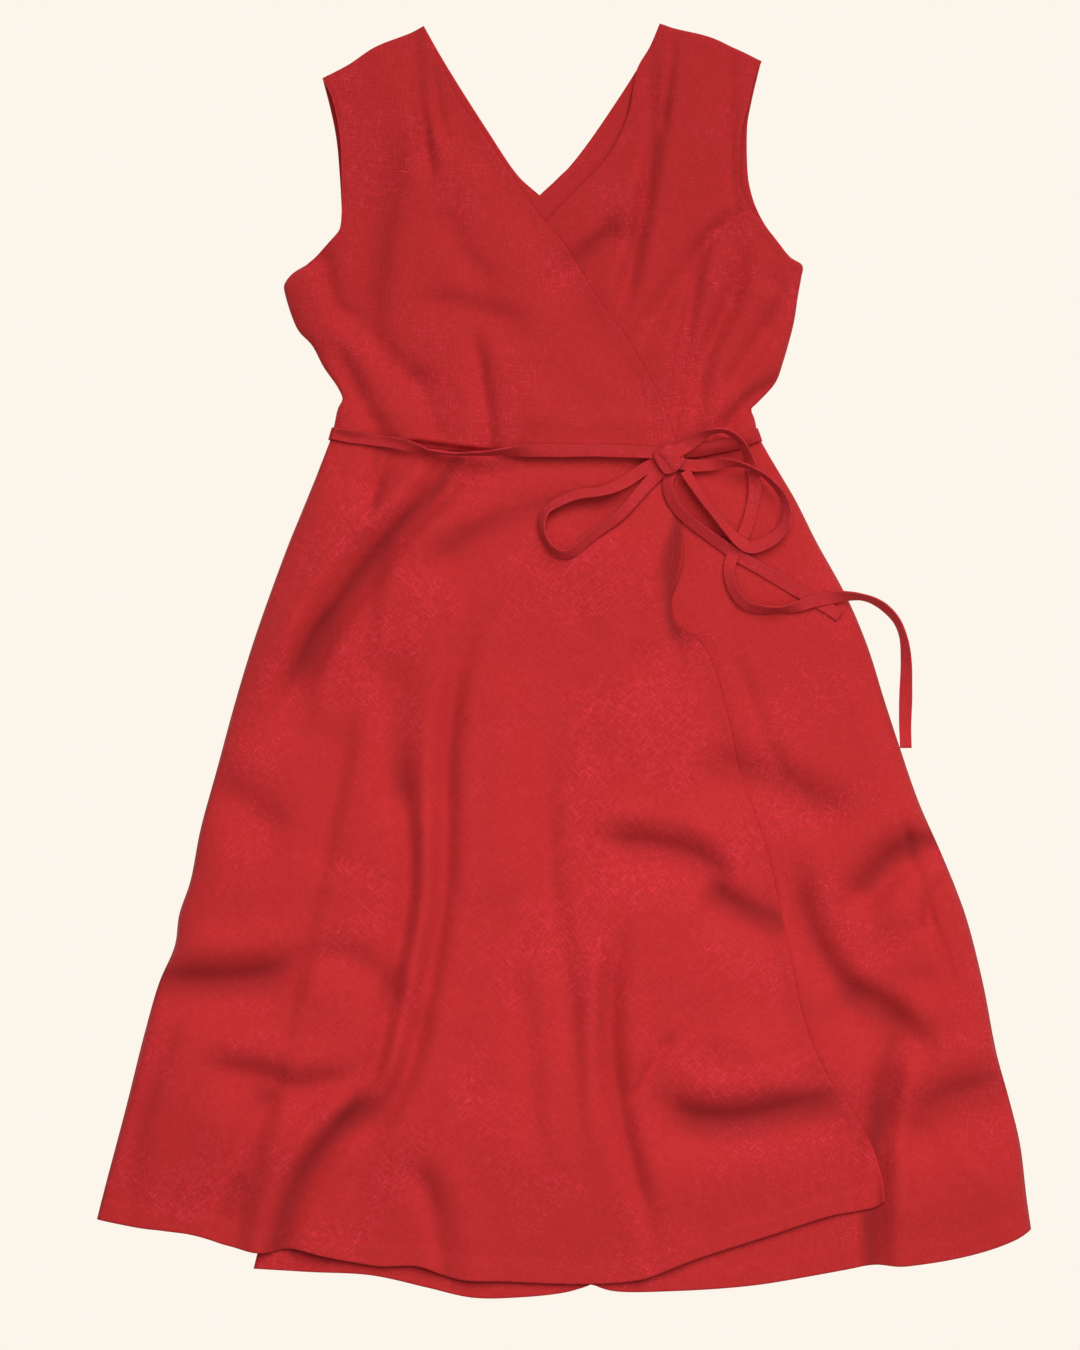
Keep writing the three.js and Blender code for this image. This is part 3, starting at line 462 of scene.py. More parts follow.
def fold_depth(folds, x, y):
    """How deep the folds press the cloth at each place."""
    total = np.zeros(x.shape)
    for fold in folds:
        path = [
            {"x": (px - PIXEL_MIDDLE[0]) * PIXEL, "y": (PIXEL_MIDDLE[1] - py) * PIXEL}
            for px, py in fold["path"]
        ]
        line = smooth_line(path, 6)
        reach = FOLD_REACH * max(fold["near"], fold["far"])
        (x0, y0), (x1, y1) = line.min(0) - reach, line.max(0) + reach
        here = (x > x0) & (x < x1) & (y > y0) & (y < y1)
        if not here.any():
            continue
        distance, across, up, along = near_line(line, x[here], y[here])
        facing = (across * FAR_WAY[0] + up * FAR_WAY[1]) / np.maximum(distance, 1e-6)
        side = smooth(facing, -0.7, 0.7)
        away = distance / mix(fold["near"], fold["far"], side)
        ends = smooth(along, 0, FOLD_FADE) * (1 - smooth(along, 1 - FOLD_FADE, 1))
        beside = fold["rim"] * mix(RIM_NEAR, 1.0, side) * np.exp(-((away - RIM_PLACE) ** 2))
        total[here] += ends * (fold["depth"] * np.exp(-(away**2)) - beside)
    return total


def crumple(x, y, seed):
    """Small unevenness of linen that was smoothed by hand, about zero on the whole."""
    total = np.zeros(x.size)
    for row in CRUMPLES:
        places = zip(x.ravel() / row["wide"], y.ravel() / row["long"])
        height = [noise.noise(Vector((px, py, seed + row["slice"]))) for px, py in places]
        total += row["height"] * np.array(height)
    return total.reshape(x.shape)


def folded_loft(loft, depth):
    """Loft less folds, which bottoms out softly at LEAST_LOFT."""
    over = (loft - depth - LEAST_LOFT) / FOLD_SOFTNESS
    return LEAST_LOFT + FOLD_SOFTNESS * np.logaddexp(0, over)


DEEPEST = max(fold["depth"] for fold in OVER_FOLDS)
print("the deepest fold leaves", round(float(folded_loft(SKIRT_LOFT, DEEPEST)), 1), "mm of loft")

# %% [markdown]
# Now the layers themselves. Each one's underside is a height over the table at any place, so
# the same functions serve the panels, the stitches and the tie that lies on them. The right
# front stands up again beside the knot, where the bow pulls at its free edge.

# %% Height of each layer
LIP_SHARE = 0.75  # share of the bodice's loft that it has at once above its lower edge
UNDER_HEM_SHARE = 0.75  # share of its loft that the left front keeps at its hem
EDGE_SHARE = 0.2  # and that a front keeps at its neck or free edge
STAND = {"share": 0.5, "y": 80, "run": 45}  # where and how much the free edge stands up
CRUMPLE_UNDER = {"height": 1.6, "seed": 2.0}
CRUMPLE_OVER = {"height": 2.2, "seed": 11.0}
SETTLE = 1.5  # how far the right front sinks into its own loft where the left is below it


def waist_share(x, y):
    """Share of its loft that a front has, so far above or below the waist seam."""
    above = y - waist_y(x)
    lip = read_off(BODICE_LIP, "rise", x)
    bodice = LIP_SHARE * smooth(above, lip - 2.5, lip + 0.5)
    bodice = bodice + (1 - LIP_SHARE) * smooth(above, lip, lip + 40)
    return np.where(above > 0, bodice, smooth(-above, 4, SKIRT_DIP))


def over_tie(x, y, spread):
    """Height of what lies over the tie's stretch round the back."""
    away = np.abs(y - waist_y(x)) - TIE_WIDTH / 2 - spread
    return (TIE_CLOTH + SEAM_GAP) * (1 - smooth(away, 2.5, 22))


def back_underside(x, y):
    return over_tie(x, y, 0)


def over_back(x, y):
    return over_tie(x, y, FRONT_SPREAD) + CLOTH + SEAM_GAP


def creased(x, y, full, skirt_folds, bodice_folds, crumpled):
    """A front's loft less its folds, and whether each place is in the skirt."""
    in_skirt = y < waist_y(x)
    depth = np.where(in_skirt, fold_depth(skirt_folds, x, y), fold_depth(bodice_folds, x, y))
    shown = waist_share(x, y)
    uneven = crumple(x, y, crumpled["seed"]) * crumpled["height"] * shown
    return folded_loft(mix(WAIST_LOFT, full, shown) + uneven, depth), in_skirt


def under_front_loft(x, y):
    folded, in_skirt = creased(x, y, UNDER_LOFT, UNDER_FOLDS, UNDER_BODICE_FOLDS, CRUMPLE_UNDER)
    folded *= np.where(in_skirt, 1.0, loose_share(x - under_edge_x(y), EDGE_SHARE))
    folded *= np.where(in_skirt, loose_share(y - under_hem_y(x), UNDER_HEM_SHARE), 1.0)
    shown = smooth(x - over_edge_x(y), -EDGE_BLEND, EDGE_BLEND * 0.4)
    return openness(x, y) * folded * mix(UNDER_FLAT, 1.0, shown)


def under_front_underside(x, y):
    return over_back(x, y) + under_front_loft(x, y)


def over_front_underside(x, y):
    full = np.where(y < waist_y(x), SKIRT_LOFT, BODICE_LOFT)
    folded, in_skirt = creased(x, y, full, OVER_FOLDS, OVER_BODICE_FOLDS, CRUMPLE_OVER)
    folded = openness(x, y) * folded
    at_hem = loose_share(y - over_hem_y(x), read_off(HEM_LIFT, "share", x), HEM_RUN)
    folded *= np.where(in_skirt, at_hem, 1.0)
    lying = smooth(x - under_edge_x(y), -STEP_RUN - 6, -6)
    least = EDGE_SHARE + STAND["share"] * np.exp(-(((y - STAND["y"]) / STAND["run"]) ** 2))
    settled = folded * loose_share(over_edge_x(y) - x, least)
    layers = lying * (under_front_loft(x, y) + CLOTH + LAYER_GAP)
    return over_back(x, y) + np.maximum(settled, layers + settled - SETTLE * lying)


MIDDLE = (np.array([0.0]), np.array([-150.0]))
print("the right front's underside mid-skirt:", over_front_underside(*MIDDLE).round(1), "mm up")

# %% [markdown]
# Linen is spun from flax, whose threads are thick and thin by turns. Those slubs run along
# both directions of a plain weave, so the cloth is never one flat red. The glint where they
# catch the light is painted on them, in patches, as a lighter and pinker red. The real threads
# are finer than a pixel here, so only slubs are drawn, about a pixel wide. The skirt's upper
# front is cut on the bias, so its material is turned by 45 degrees.

# %% Linen


def linear(code):
    """A colour given as sRGB hex, as the linear values that Blender works in."""
    channels = [int(code[i : i + 2], 16) / 255 for i in (1, 3, 5)]
    return [c / 12.92 if c <= 0.04045 else ((c + 0.055) / 1.055) ** 2.4 for c in channels] + [1]


def add(tree, kind, inputs=None, out=0, **settings):
    """Adds one node, with its settings, values and links, and gives one of its outputs."""
    made = tree.nodes.new("ShaderNode" + kind)
    for name, value in settings.items():
        setattr(made, name, value)
    for key, value in (inputs or {}).items():
        if isinstance(value, bpy.types.NodeSocket):
            tree.links.new(value, made.inputs[key])
        else:
            made.inputs[key].default_value = value
    return made.outputs[out] if made.outputs else None


def bare_material(name):
    """A new material, with no nodes in it yet."""
    material = bpy.data.materials.new(name)
    material.use_nodes = True
    material.node_tree.nodes.clear()
    return material


# The first three reds are the threads' own tones, laid along the weave at random; the fourth is the
# slubs' painted glint
PANEL_REDS = ("#AA2022", "#B42425", "#BE2B2E", "#E2344E")  # deep, middle, lit, and the slubs
TIE_REDS = ("#A62123", "#B62629", "#BF2C31", "#D8425A")
SLUB_WIDE = 0.8 * MM
SLUB_LONG = 8 * MM
SLUB_HIGH = 16.67 * MM  # through the cloth, where the pattern hardly changes
# Painted glint: slubs take the fourth red only in patches of about this size
PATCH_SIZE = 71.43 * MM  # of the patches where slubs show


def woven(tree, place, turn):
    """Threads that run both ways, turned by so many degrees. The lightest are slubs."""
    turned = add(tree, "Mapping", {"Vector": place, "Rotation": (0, 0, math.radians(turn))})
    threads = []
    for wide, long in ((SLUB_LONG, SLUB_WIDE), (SLUB_WIDE, SLUB_LONG)):
        scale = (1 / wide, 1 / long, 1 / SLUB_HIGH)
        drawn = add(tree, "Mapping", {"Vector": turned, "Scale": scale})
        values = {"Vector": drawn, "Scale": 1.0, "Detail": 3.0, "Roughness": 0.7}
        threads.append(add(tree, "TexNoise", values))
    return add(tree, "Math", {0: threads[0], 1: threads[1]}, operation="MAXIMUM")


def dyed(tree, place, weave, reds):
    """The cloth's reds: three along the weave, and slubs with a painted glint that shows in patches.
    """
    ground = add(tree, "ValToRGB", {"Fac": weave})
    ramp = ground.node.color_ramp.elements
    ramp[0].position, ramp[1].position = 0.36, 0.66
    ramp[0].color, ramp[1].color = linear(reds[0]), linear(reds[2])
    ramp.new(0.5).color = linear(reds[1])
    # Painted glint: patches, placed by noise, where the slubs take the lighter, pinker red
    values = {"Vector": place, "Scale": 1 / PATCH_SIZE, "Detail": 2.0, "Roughness": 0.5}
    painted_glint_patches = add(tree, "TexNoise", values)
    values = {"Value": painted_glint_patches, "From Min": 0.49, "From Max": 0.61, "To Min": 0.06, "To Max": 1.0}
    shown = add(tree, "MapRange", values)
    slubs = add(tree, "MapRange", {"Value": weave, "From Min": 0.585, "From Max": 0.69})
    painted_slub_glint = add(tree, "Math", {0: slubs, 1: shown}, operation="MULTIPLY")
    values = {"Factor": painted_slub_glint, 6: ground, 7: linear(reds[3])}
    return add(tree, "Mix", values, out=2, data_type="RGBA")


print("slubs", SLUB_WIDE / MM, "by", SLUB_LONG / MM, "mm")

# %% [markdown]
# Deep folds of the real dress hold back more light than this relief does, which is shallower.
# Cloth could be piled higher, but then its outline from the side would be wrong. So each panel
# carries a value at its points, from 0 on flat cloth to 1 in a deep fold, and a painted shade,
# a deeper red, is mixed into the linen's colour there. Small wrinkles and the weave are bumps
# in the surface.

# %% Linen's surface
# Painted shade: the red that deep folds take, in place of the darker shade a deeper relief would
# throw
PAINTED_FOLD_SHADE_RED = "#84181A"
PAINTED_FOLD_SHADE_SHARE = 0.88  # how much of that red the deepest folds take
WRINKLE_SIZE = 14.286 * MM


def linen(name, turn, reds=PANEL_REDS, coords="Object"):
    """Woven red linen whose threads are turned by so many degrees."""
    material = bare_material(name)
    tree = material.node_tree
    place = add(tree, "TexCoord", out=coords)
    weave = woven(tree, place, turn)
    # Painted shade: a deeper red mixed into the linen's colour by each point's fold value
    painted_fold_shade = add(tree, "Attribute", out="Fac", attribute_name="painted_fold_shade")
    shaded = add(tree, "Math", {0: painted_fold_shade, 1: PAINTED_FOLD_SHADE_SHARE}, operation="MULTIPLY")
    values = {"Factor": shaded, 6: dyed(tree, place, weave, reds), 7: linear(PAINTED_FOLD_SHADE_RED)}
    colour = add(tree, "Mix", values, out=2, data_type="RGBA")
    values = {"Vector": place, "Scale": 1 / WRINKLE_SIZE, "Detail": 3.0, "Roughness": 0.55}
    wrinkle = add(tree, "TexNoise", values)
    fine = add(tree, "Bump", {"Height": weave, "Strength": 0.35, "Distance": 0.4 * MM})
    values = {"Height": wrinkle, "Strength": 0.5, "Distance": 0.9 * MM, "Normal": fine}
    values = {
        "Base Color": colour, "Roughness": 0.88, "IOR": 1.5, "Specular IOR Level": 0.2,
        "Sheen Weight": 0.06, "Sheen Roughness": 0.55, "Sheen Tint": linear("#F0A0A8"),
        "Normal": add(tree, "Bump", values),
    }
    add(tree, "OutputMaterial", {"Surface": add(tree, "BsdfPrincipled", values)})
    return material


BIAS = 45
linen_straight = linen("Plain-weave linen, straight grain", 2)
linen_bias = linen("Plain-weave linen, cut on the bias", BIAS)
linen_turned = linen("Plain-weave linen, flared panel", 17)
linen_inside = linen("Plain-weave linen, inside of the back", 3)
linen_tie = linen("Folded linen tie", 0, TIE_REDS, "UV")
print("linens:", [m.name for m in bpy.data.materials])

# %% [markdown]
# Sewing thread is a smooth twisted cotton or polyester, dyed to match. It stands a little
# proud of the cloth and is glossier than linen, so a row of stitches reads as fine beads.

# %% Sewing thread
TWIST_SIZE = 1.1111 * MM
thread = bare_material("Dyed polyester sewing thread")
tree = thread.node_tree
place = add(tree, "TexCoord", out="Object")
values = {"Vector": place, "Scale": 1 / TWIST_SIZE, "Detail": 2.0}
twist = add(tree, "TexNoise", values)
values = {"Factor": twist, 6: linear("#9E2428"), 7: linear("#BE363E")}
tone = add(tree, "Mix", values, out=2, data_type="RGBA")
ply = add(tree, "Bump", {"Height": twist, "Strength": 0.4, "Distance": 0.1 * MM})
values = {"Base Color": tone, "Roughness": 0.5, "Specular IOR Level": 0.4, "Normal": ply}
add(tree, "OutputMaterial", {"Surface": add(tree, "BsdfPrincipled", values)})
print("thread:", len(tree.nodes), "nodes")

# %% [markdown]
# A panel could be cut from a flat sheet and cloth-simulated, but its folds would then fall
# where the solver puts them. Here the dress was arranged by hand, so each panel is a grid that
# is laid between its four edges, and its heights come from the table of folds. The grid is
# finer along sewn edges, where hems and stitches are small. A Solidify modifier gives the
# cloth its wall.

# %% Panels as grids
FINE_LINES = (0, 0.7, 1.6, 2.6, 3.8, 5.2, 7, 9, 11.5, 14, 16.5, 19)  # mm from a turned edge
FINE_CLEAR = 1.08  # how far beyond them the even lines start


def grid_lines(count, length, at_start=False, at_end=False):
    """Shares of a length where a grid has its lines: even, and close together at its ends."""
    lines = list(np.linspace(0, 1, count + 1))
    fine = [mm / length for mm in FINE_LINES]
    if at_start:
        lines = [s for s in lines if s > fine[-1] * FINE_CLEAR] + fine
    if at_end:
        lines = [s for s in lines if s < 1 - fine[-1] * FINE_CLEAR] + [1 - s for s in fine]
    return np.array(sorted(lines))


def waist_line(start, end, side):
    """The waist seam from one x to another, a seam's clearance above or below it."""
    x = np.linspace(start, end, 60)
    return np.stack([x, waist_y(x) + side * WAIST_GAP / 2], axis=-1)


def joined_edge(parts, shares):
    """Places on lines that lie end to end, where each has its own part of the shares."""
    bounds = np.cumsum([0] + [part for _, part in parts])
    places = np.zeros((len(shares), 2))
    for (line, part), start in zip(parts, bounds):
        here = (shares >= start - 1e-9) & (shares <= start + part + 1e-9)
        places[here] = at_shares(line, (shares[here] - start) / part)
    return places


def laid_between(top, bottom, left, right, columns, rows):
    """Rows of places that fill four edges, from the bottom one up."""
    top, bottom = joined_edge(top, columns)[None], joined_edge(bottom, columns)[None]
    left, right = at_shares(left, rows)[:, None], at_shares(right, rows)[:, None]
    u, v = columns[None, :, None], rows[:, None, None]
    places = (1 - v) * top + v * bottom + (1 - u) * left + u * right
    places -= (1 - u) * (1 - v) * left[:1] + u * (1 - v) * right[:1]
    places -= (1 - u) * v * left[-1:] + u * v * right[-1:]
    return places[::-1]


def object_of(name, mesh, material):
    """A finished bmesh as an object of the scene."""
    data = bpy.data.meshes.new(name)
    mesh.to_mesh(data)
    mesh.free()
    data.materials.append(material)
    made = bpy.data.objects.new(name, data)
    bpy.context.scene.collection.objects.link(made)
    return made


def stands_for(piece, node):
    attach(piece, "root")
    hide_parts(node)


def sheet_of(name, places, thickness, offset, material, painted_fold_shade=None):
    """A grid moved to the given places, with its UV map in metres and its wall."""
    rows, columns = places.shape[:2]
    mesh = bmesh.new()
    bmesh.ops.create_grid(mesh, x_segments=columns - 1, y_segments=rows - 1, size=0.5)
    along = np.linalg.norm(np.diff(places, axis=1), axis=2).mean(0)
    along = np.concatenate([[0], np.cumsum(along)]) * MM
    up = np.linalg.norm(np.diff(places, axis=0), axis=2).mean(1)
    up = np.concatenate([[0], np.cumsum(up)]) * MM
    uv = mesh.loops.layers.uv.new("Cloth")
    # Each point's share of painted fold shade, which the linen reads
    low = mesh.verts.layers.float.new("painted_fold_shade")
    spots = {}
    for vertex in mesh.verts:
        column = round((vertex.co.x + 0.5) * (columns - 1))
        row = round((vertex.co.y + 0.5) * (rows - 1))
        spots[vertex] = (along[column], up[row])
        vertex.co = places[row, column] * MM
        vertex[low] = 0 if painted_fold_shade is None else painted_fold_shade[row, column]
    for face in mesh.faces:
        face.smooth = True
        for corner in face.loops:
            corner[uv].uv = spots[corner.vert]
    made = object_of(name, mesh, material)
    wall = made.modifiers.new("Wall", "SOLIDIFY")
    wall.thickness = thickness * MM
    wall.offset = offset
    return made


print("grid lines beside a hem:", len(FINE_LINES), "in", FINE_LINES[-1], "mm")

# %% [markdown]
# Every raw edge is turned under and stitched. Inside a turned edge the cloth is three layers
# thick, and the row of stitches pulls it down and puckers it. Both are small heights that are
# added to the panel along its edges.

# %% Turned edges
LAYERS = 0.55  # how much the turned edge adds
EDGE_ROUND = 0.5  # how much lower its very edge is
PUCKER = {"height": 0.22, "run": 3.2}
GROOVE = {"depth": 0.35, "run": 0.9}
LOWEST = -0.9  # the most that the stitches press it down


def turned_edges(bands, x, y):
    """Height that turned edges and their stitches add, from a list of edges."""
    height = np.zeros(x.shape)
    for band in bands:
        distance, _, _, along = near_line(band["line"], x, y)
        length = along * lengths_along(band["line"])[-1]
        inside = 1 - smooth(distance, band["width"] - 0.6, band["width"] + 1.4)
        pucker = np.sin(length / 2.1 + 2.5 * np.sin(length / 17)) * np.sin(length / 5.3)
        from_stitch = distance - band["stitch"]
        pucker *= PUCKER["height"] * np.exp(-((from_stitch / PUCKER["run"]) ** 2))
        groove = GROOVE["depth"] * np.exp(-((from_stitch / GROOVE["run"]) ** 2))
        height += LAYERS * inside - groove - EDGE_ROUND * (1 - smooth(distance, 0, 1.5)) + pucker
    return np.maximum(height, LOWEST)


def edge_band(rows, width, stitch):
    """A turned edge: its line, its width, and how far inside it the stitches run."""
    return {"line": smooth_line(rows, 6), "width": width, "stitch": stitch}


def arm_band(rows):
    return edge_band(rows, ARMHOLE_STITCH + 2, ARMHOLE_STITCH)


over_neck_band = edge_band(OVER_NECK, NECK_HEM, NECK_HEM - 1.5)
under_neck_band = edge_band(UNDER_NECK, NECK_HEM, NECK_HEM - 1.5)
back_neck_band = edge_band(BACK_NECK, NECK_HEM, NECK_HEM - 1.5)
over_edge_band = edge_band(OVER_EDGE, NECK_HEM + 1, NECK_HEM - 0.5)
over_hem_band = edge_band(OVER_HEM, HEM, HEM - 2)
under_hem_band = edge_band(UNDER_HEM, HEM, HEM - 2)
back_hem_band = edge_band(BACK_HEM, HEM, HEM - 2)
LEFT_ARM, RIGHT_ARM = slice(9), slice(11)  # rows of a side that go round its armhole
over_arm_band = arm_band(FRONT_SIDE_LEFT[LEFT_ARM])
under_arm_band = arm_band(FRONT_SIDE_RIGHT[RIGHT_ARM])
back_arm_bands = [arm_band(BACK_SIDE_LEFT[LEFT_ARM]), arm_band(BACK_SIDE_RIGHT[RIGHT_ARM])]
print("right front's hem:", round(lengths_along(over_hem_band["line"])[-1]), "mm of stitches")

# %% [markdown]
# Each panel now needs only its edges, how fine its grid is, which surface it lies on, which
# edges are turned, its linen and its folds. The back lies flat, so the dress rests on it.

# %% How a panel is laid
# Painted shade in the folds: moved towards the shoulders, onto the wall turned from the light, and
# growing with a fold's depth
PAINTED_SHADE_SHIFT = 5.0  # the shade lies on a fold's wall above its line, towards the shoulders
PAINTED_SHADE_DEPTHS = (5, 19)  # fold depths where the deeper red starts and is full
waist_left, waist_right = WAIST[0]["x"], WAIST[-1]["x"]
over_end, under_end = OVER_NECK[-1]["x"], UNDER_NECK[-1]["x"]
cloth = {}


def waist(start, end, side):
    """The waist seam as a whole edge: 1 is the bodice's side of it and -1 the skirt's."""
    return [(waist_line(start, end, side), 1)]


def lay_panel(node, edges, lines, underside, bands, material, folds=()):
    """Makes one panel of the dress, from its top, bottom, left and right edge."""
    places = laid_between(*edges, *lines)
    x, y = places[..., 0], places[..., 1]
    z = underside(x, y) + CLOTH + turned_edges(bands, x, y)
    # How much painted fold shade each place of the panel takes
    painted_fold_shade = smooth(fold_depth(folds, x, y - PAINTED_SHADE_SHIFT), *PAINTED_SHADE_DEPTHS)
    name = "linen_" + node
    cloth[node] = sheet_of(name, np.dstack([x, y, z]), CLOTH - 0.1, -1, material, painted_fold_shade)
    stands_for(cloth[node], node)
    print(name, "is a grid of", x.shape[1], "by", x.shape[0], "places")


# %% The back
neck_parts = [
    (smooth_line(SHOULDER_LEFT), 0.2), (smooth_line(BACK_NECK_LEFT), 0.3),
    (smooth_line(BACK_NECK_RIGHT), 0.3), (smooth_line(SHOULDER_RIGHT), 0.2),
]
lay_panel(
    "back_bodice",
    (
        neck_parts, waist(waist_left, waist_right, 1),
        smooth_line(BACK_SIDE_LEFT), smooth_line(BACK_SIDE_RIGHT),
    ),
    (np.linspace(0, 1, 121), grid_lines(90, 340, at_start=True)),
    back_underside, [back_neck_band, *back_arm_bands], linen_inside,
)
lay_panel(
    "back_skirt",
    (
        waist(waist_left, waist_right, -1), [(smooth_line(BACK_HEM), 1)],
        smooth_line(SKIRT_SIDE_LEFT), smooth_line(SKIRT_SIDE_RIGHT),
    ),
    (np.linspace(0, 1, 101), grid_lines(110, 720, at_end=True)),
    back_underside, [back_hem_band], linen_inside,
)

# %% [markdown]
# The wearer's left front lies on the back and shows only past the right front's edge and below
# its hem. It is whole all the same, so that a reader can take the upper panel away.

# %% The wearer's left front
lay_panel(
    "left_front_bodice",
    (
        [(smooth_line(SHOULDER_RIGHT), 1)], waist(under_end, waist_right, 1),
        smooth_line(UNDER_NECK), smooth_line(FRONT_SIDE_RIGHT),
    ),
    (grid_lines(80, 220, at_start=True, at_end=True), grid_lines(120, 340, at_end=True)),
    under_front_underside, [under_neck_band, under_arm_band], linen_straight, UNDER_BODICE_FOLDS,
)
notch_share = (NOTCH_X - UNDER_HEM[0]["x"]) / (UNDER_HEM[-1]["x"] - UNDER_HEM[0]["x"])
under_hem_parts = [
    (smooth_line(UNDER_HEM_LEFT), notch_share), (smooth_line(UNDER_HEM_RIGHT), 1 - notch_share)
]
lay_panel(
    "left_front_skirt",
    (
        waist(under_end, waist_right, -1), under_hem_parts,
        smooth_line(UNDER_EDGE), smooth_line(SKIRT_SIDE_RIGHT),
    ),
    (np.linspace(0, 1, 151), grid_lines(150, 740, at_end=True)),
    under_front_underside, [under_hem_band], linen_turned, UNDER_FOLDS,
)

# %% [markdown]
# The wearer's right front covers most of the dress. Its skirt is cut on the bias and has the
# most folds, so its grid has the most places.

# %% The wearer's right front
lay_panel(
    "right_front_bodice",
    (
        [(smooth_line(SHOULDER_LEFT), 1)], waist(waist_left, over_end, 1),
        smooth_line(FRONT_SIDE_LEFT), smooth_line(OVER_NECK),
    ),
    (grid_lines(80, 240, at_start=True, at_end=True), grid_lines(120, 340, at_end=True)),
    over_front_underside, [over_neck_band, over_arm_band], linen_straight, OVER_BODICE_FOLDS,
)
lay_panel(
    "right_front_skirt",
    (
        waist(waist_left, OVER_EDGE[0]["x"], -1), [(smooth_line(OVER_HEM), 1)],
        smooth_line(SKIRT_SIDE_LEFT), smooth_line(OVER_EDGE),
    ),
    (grid_lines(170, 560, at_end=True), grid_lines(190, 740, at_end=True)),
    over_front_underside, [over_hem_band, over_edge_band], linen_bias, OVER_FOLDS,
)

# %% [markdown]
# The tie is a strip of linen folded in four and stitched along one edge, so it is stiffer than
# the dress. Where it bends it would rather stand on its edge than fold, which is why the loops
# of the bow are seen partly from the side. lift is its height over the cloth, and roll turns
# it on its length, in degrees.

# %% Routes of the tie
WAIST_TIE = table(
    "x y lift roll drape",
    (-208.5, 204.5, 0.1, 0, 0.8), (-196, 202, 0.1, 0, 0.8), (-180, 199.8, 0.2, 0, 0.8),
    (-165, 197.5, 1.0, 4, 0.6), (-150, 195, 1.0, 14, 0.4), (-136, 191.5, 1.0, 40, 0.2),
    (-122, 187.5, 0.8, 68, 0), (-100, 185.5, 0.2, 76, 0), (-72, 185.6, 0.2, 76, 0),
    (-54, 187, 0.3, 58, 0), (-38, 188, 0.2, 26, 0.2), (-18, 188.4, 0.1, 4, 0.2),
    (10, 188.4, 0.6, 0, 0.1), (40, 188, 1.0, 0, 0.1), (60, 187.4, 1.2, 0, 0.1),
    (84, 186, 1.5, 4, 0),
)
WAIST_TIE_RIGHT = table(
    "x y lift roll drape",
    (102, 187.5, 0.1, 0, 0.5), (120, 189, 0.1, 0, 0.8), (140, 192.5, 0.1, 0, 0.8),
    (158, 197, 0.1, 0, 0.8), (175.5, 203.8, 0.1, 0, 0.8),
)
LEFT_LOOP = table(
    "x y lift roll",
    (86, 180, 4.5, -10), (72, 172, 3.6, -5), (58, 162.5, 3.0, 5), (46, 156, 2.4, 25),
    (32, 151.5, 2.0, 45), (12, 149, 1.6, 35), (-5, 142, 1.4, 45), (-17, 133, 1.2, 60),
    (-20, 120, 1.2, 68), (-17, 108, 1.0, 64), (-10, 98.5, 0.8, 55), (0, 94.5, 0.6, 48),
    (9, 98, 0.6, 42), (19, 107, 0.7, 38), (34, 119, 0.8, 34), (46, 127, 1.0, 40),
    (58, 139, 1.2, 30), (69, 152, 1.9, 10), (79, 163, 2.6, 0), (88, 172, 3.2, 0),
)
SHORT_TAIL = table(
    "x y lift roll",
    (96, 172, 0.6, 20), (93, 158, 0.5, 32), (96, 145, 0.4, 38), (103, 134, 0.4, 40),
    (114, 124, 0.4, 38), (127, 114, 0.3, 34), (141, 104, 0.3, 28), (157, 93, 0.3, 16),
    (175, 83, 0.3, 8), (194, 72, 0.3, 8), (214, 60, 0.3, 4), (232, 50, 0.3, 0),
    (247, 40, 0.3, 0),
)
LONG_TAIL = table(
    "x y lift roll",
    (98, 185.5, 4, -10), (108, 191, 3.8, -6), (119, 198.5, 3.6, 30), (129, 204, 3.4, 66),
    (143, 205.5, 3.0, 76), (156, 198, 2.6, 68), (165, 183, 2.0, 52), (169.5, 166, 1.4, 28),
    (170.5, 150, 1.2, 10), (167, 133, 1.2, -4), (162, 117, 1.4, -12), (156, 104, 1.8, -10),
    (149.5, 91, 1.8, 12), (147.5, 77, 1.2, 34), (152, 62, 0.8, 46), (161, 51, 0.8, 44),
    (176, 46, 0.8, 50), (194, 46, 1.0, 58), (206, 48, 1.4, 38), (222, 53, 1.8, 8),
    (238, 56.5, 1.8, 10), (253, 58, 1.4, 42), (266, 57.5, 1.0, 60), (276, 55, 0.5, 62),
    (288, 48, 0.2, 58), (299, 36, 0.1, 60), (305, 21, 0, 58), (307.5, 1, 0, 40),
    (307.5, -26, 0, 14), (307, -53, 0, 0), (307, -78, 0, 0),
)
RIGHT_LOOP = table(
    "x y lift roll",
    (103, 177, 5.5, 0), (116, 175, 5.4, 0), (130, 175.5, 5.6, 8), (144, 177, 6.0, 48),
    (158, 175.5, 6.4, 72), (172, 170, 6.6, 76), (184, 161, 6.2, 72), (194, 149, 5.6, 66),
    (199, 136, 5.2, 56), (197.5, 123, 4.8, 42), (190, 111.5, 4.8, 26), (178, 104, 5.0, 8),
    (166, 101.5, 5.2, 0), (157, 106, 5.0, 24), (147, 116, 4.6, 46), (137, 128, 4.2, 54),
    (127, 141, 3.8, 52), (118, 154, 3.6, 44), (108, 170, 3.2, 34),
)
print("places on the long end:", len(LONG_TAIL))

# %% [markdown]
# A strip on cloth needs to know how high the cloth is beneath it. That is the highest panel at
# each place, or the table beside the dress.

# %% Height under the strips


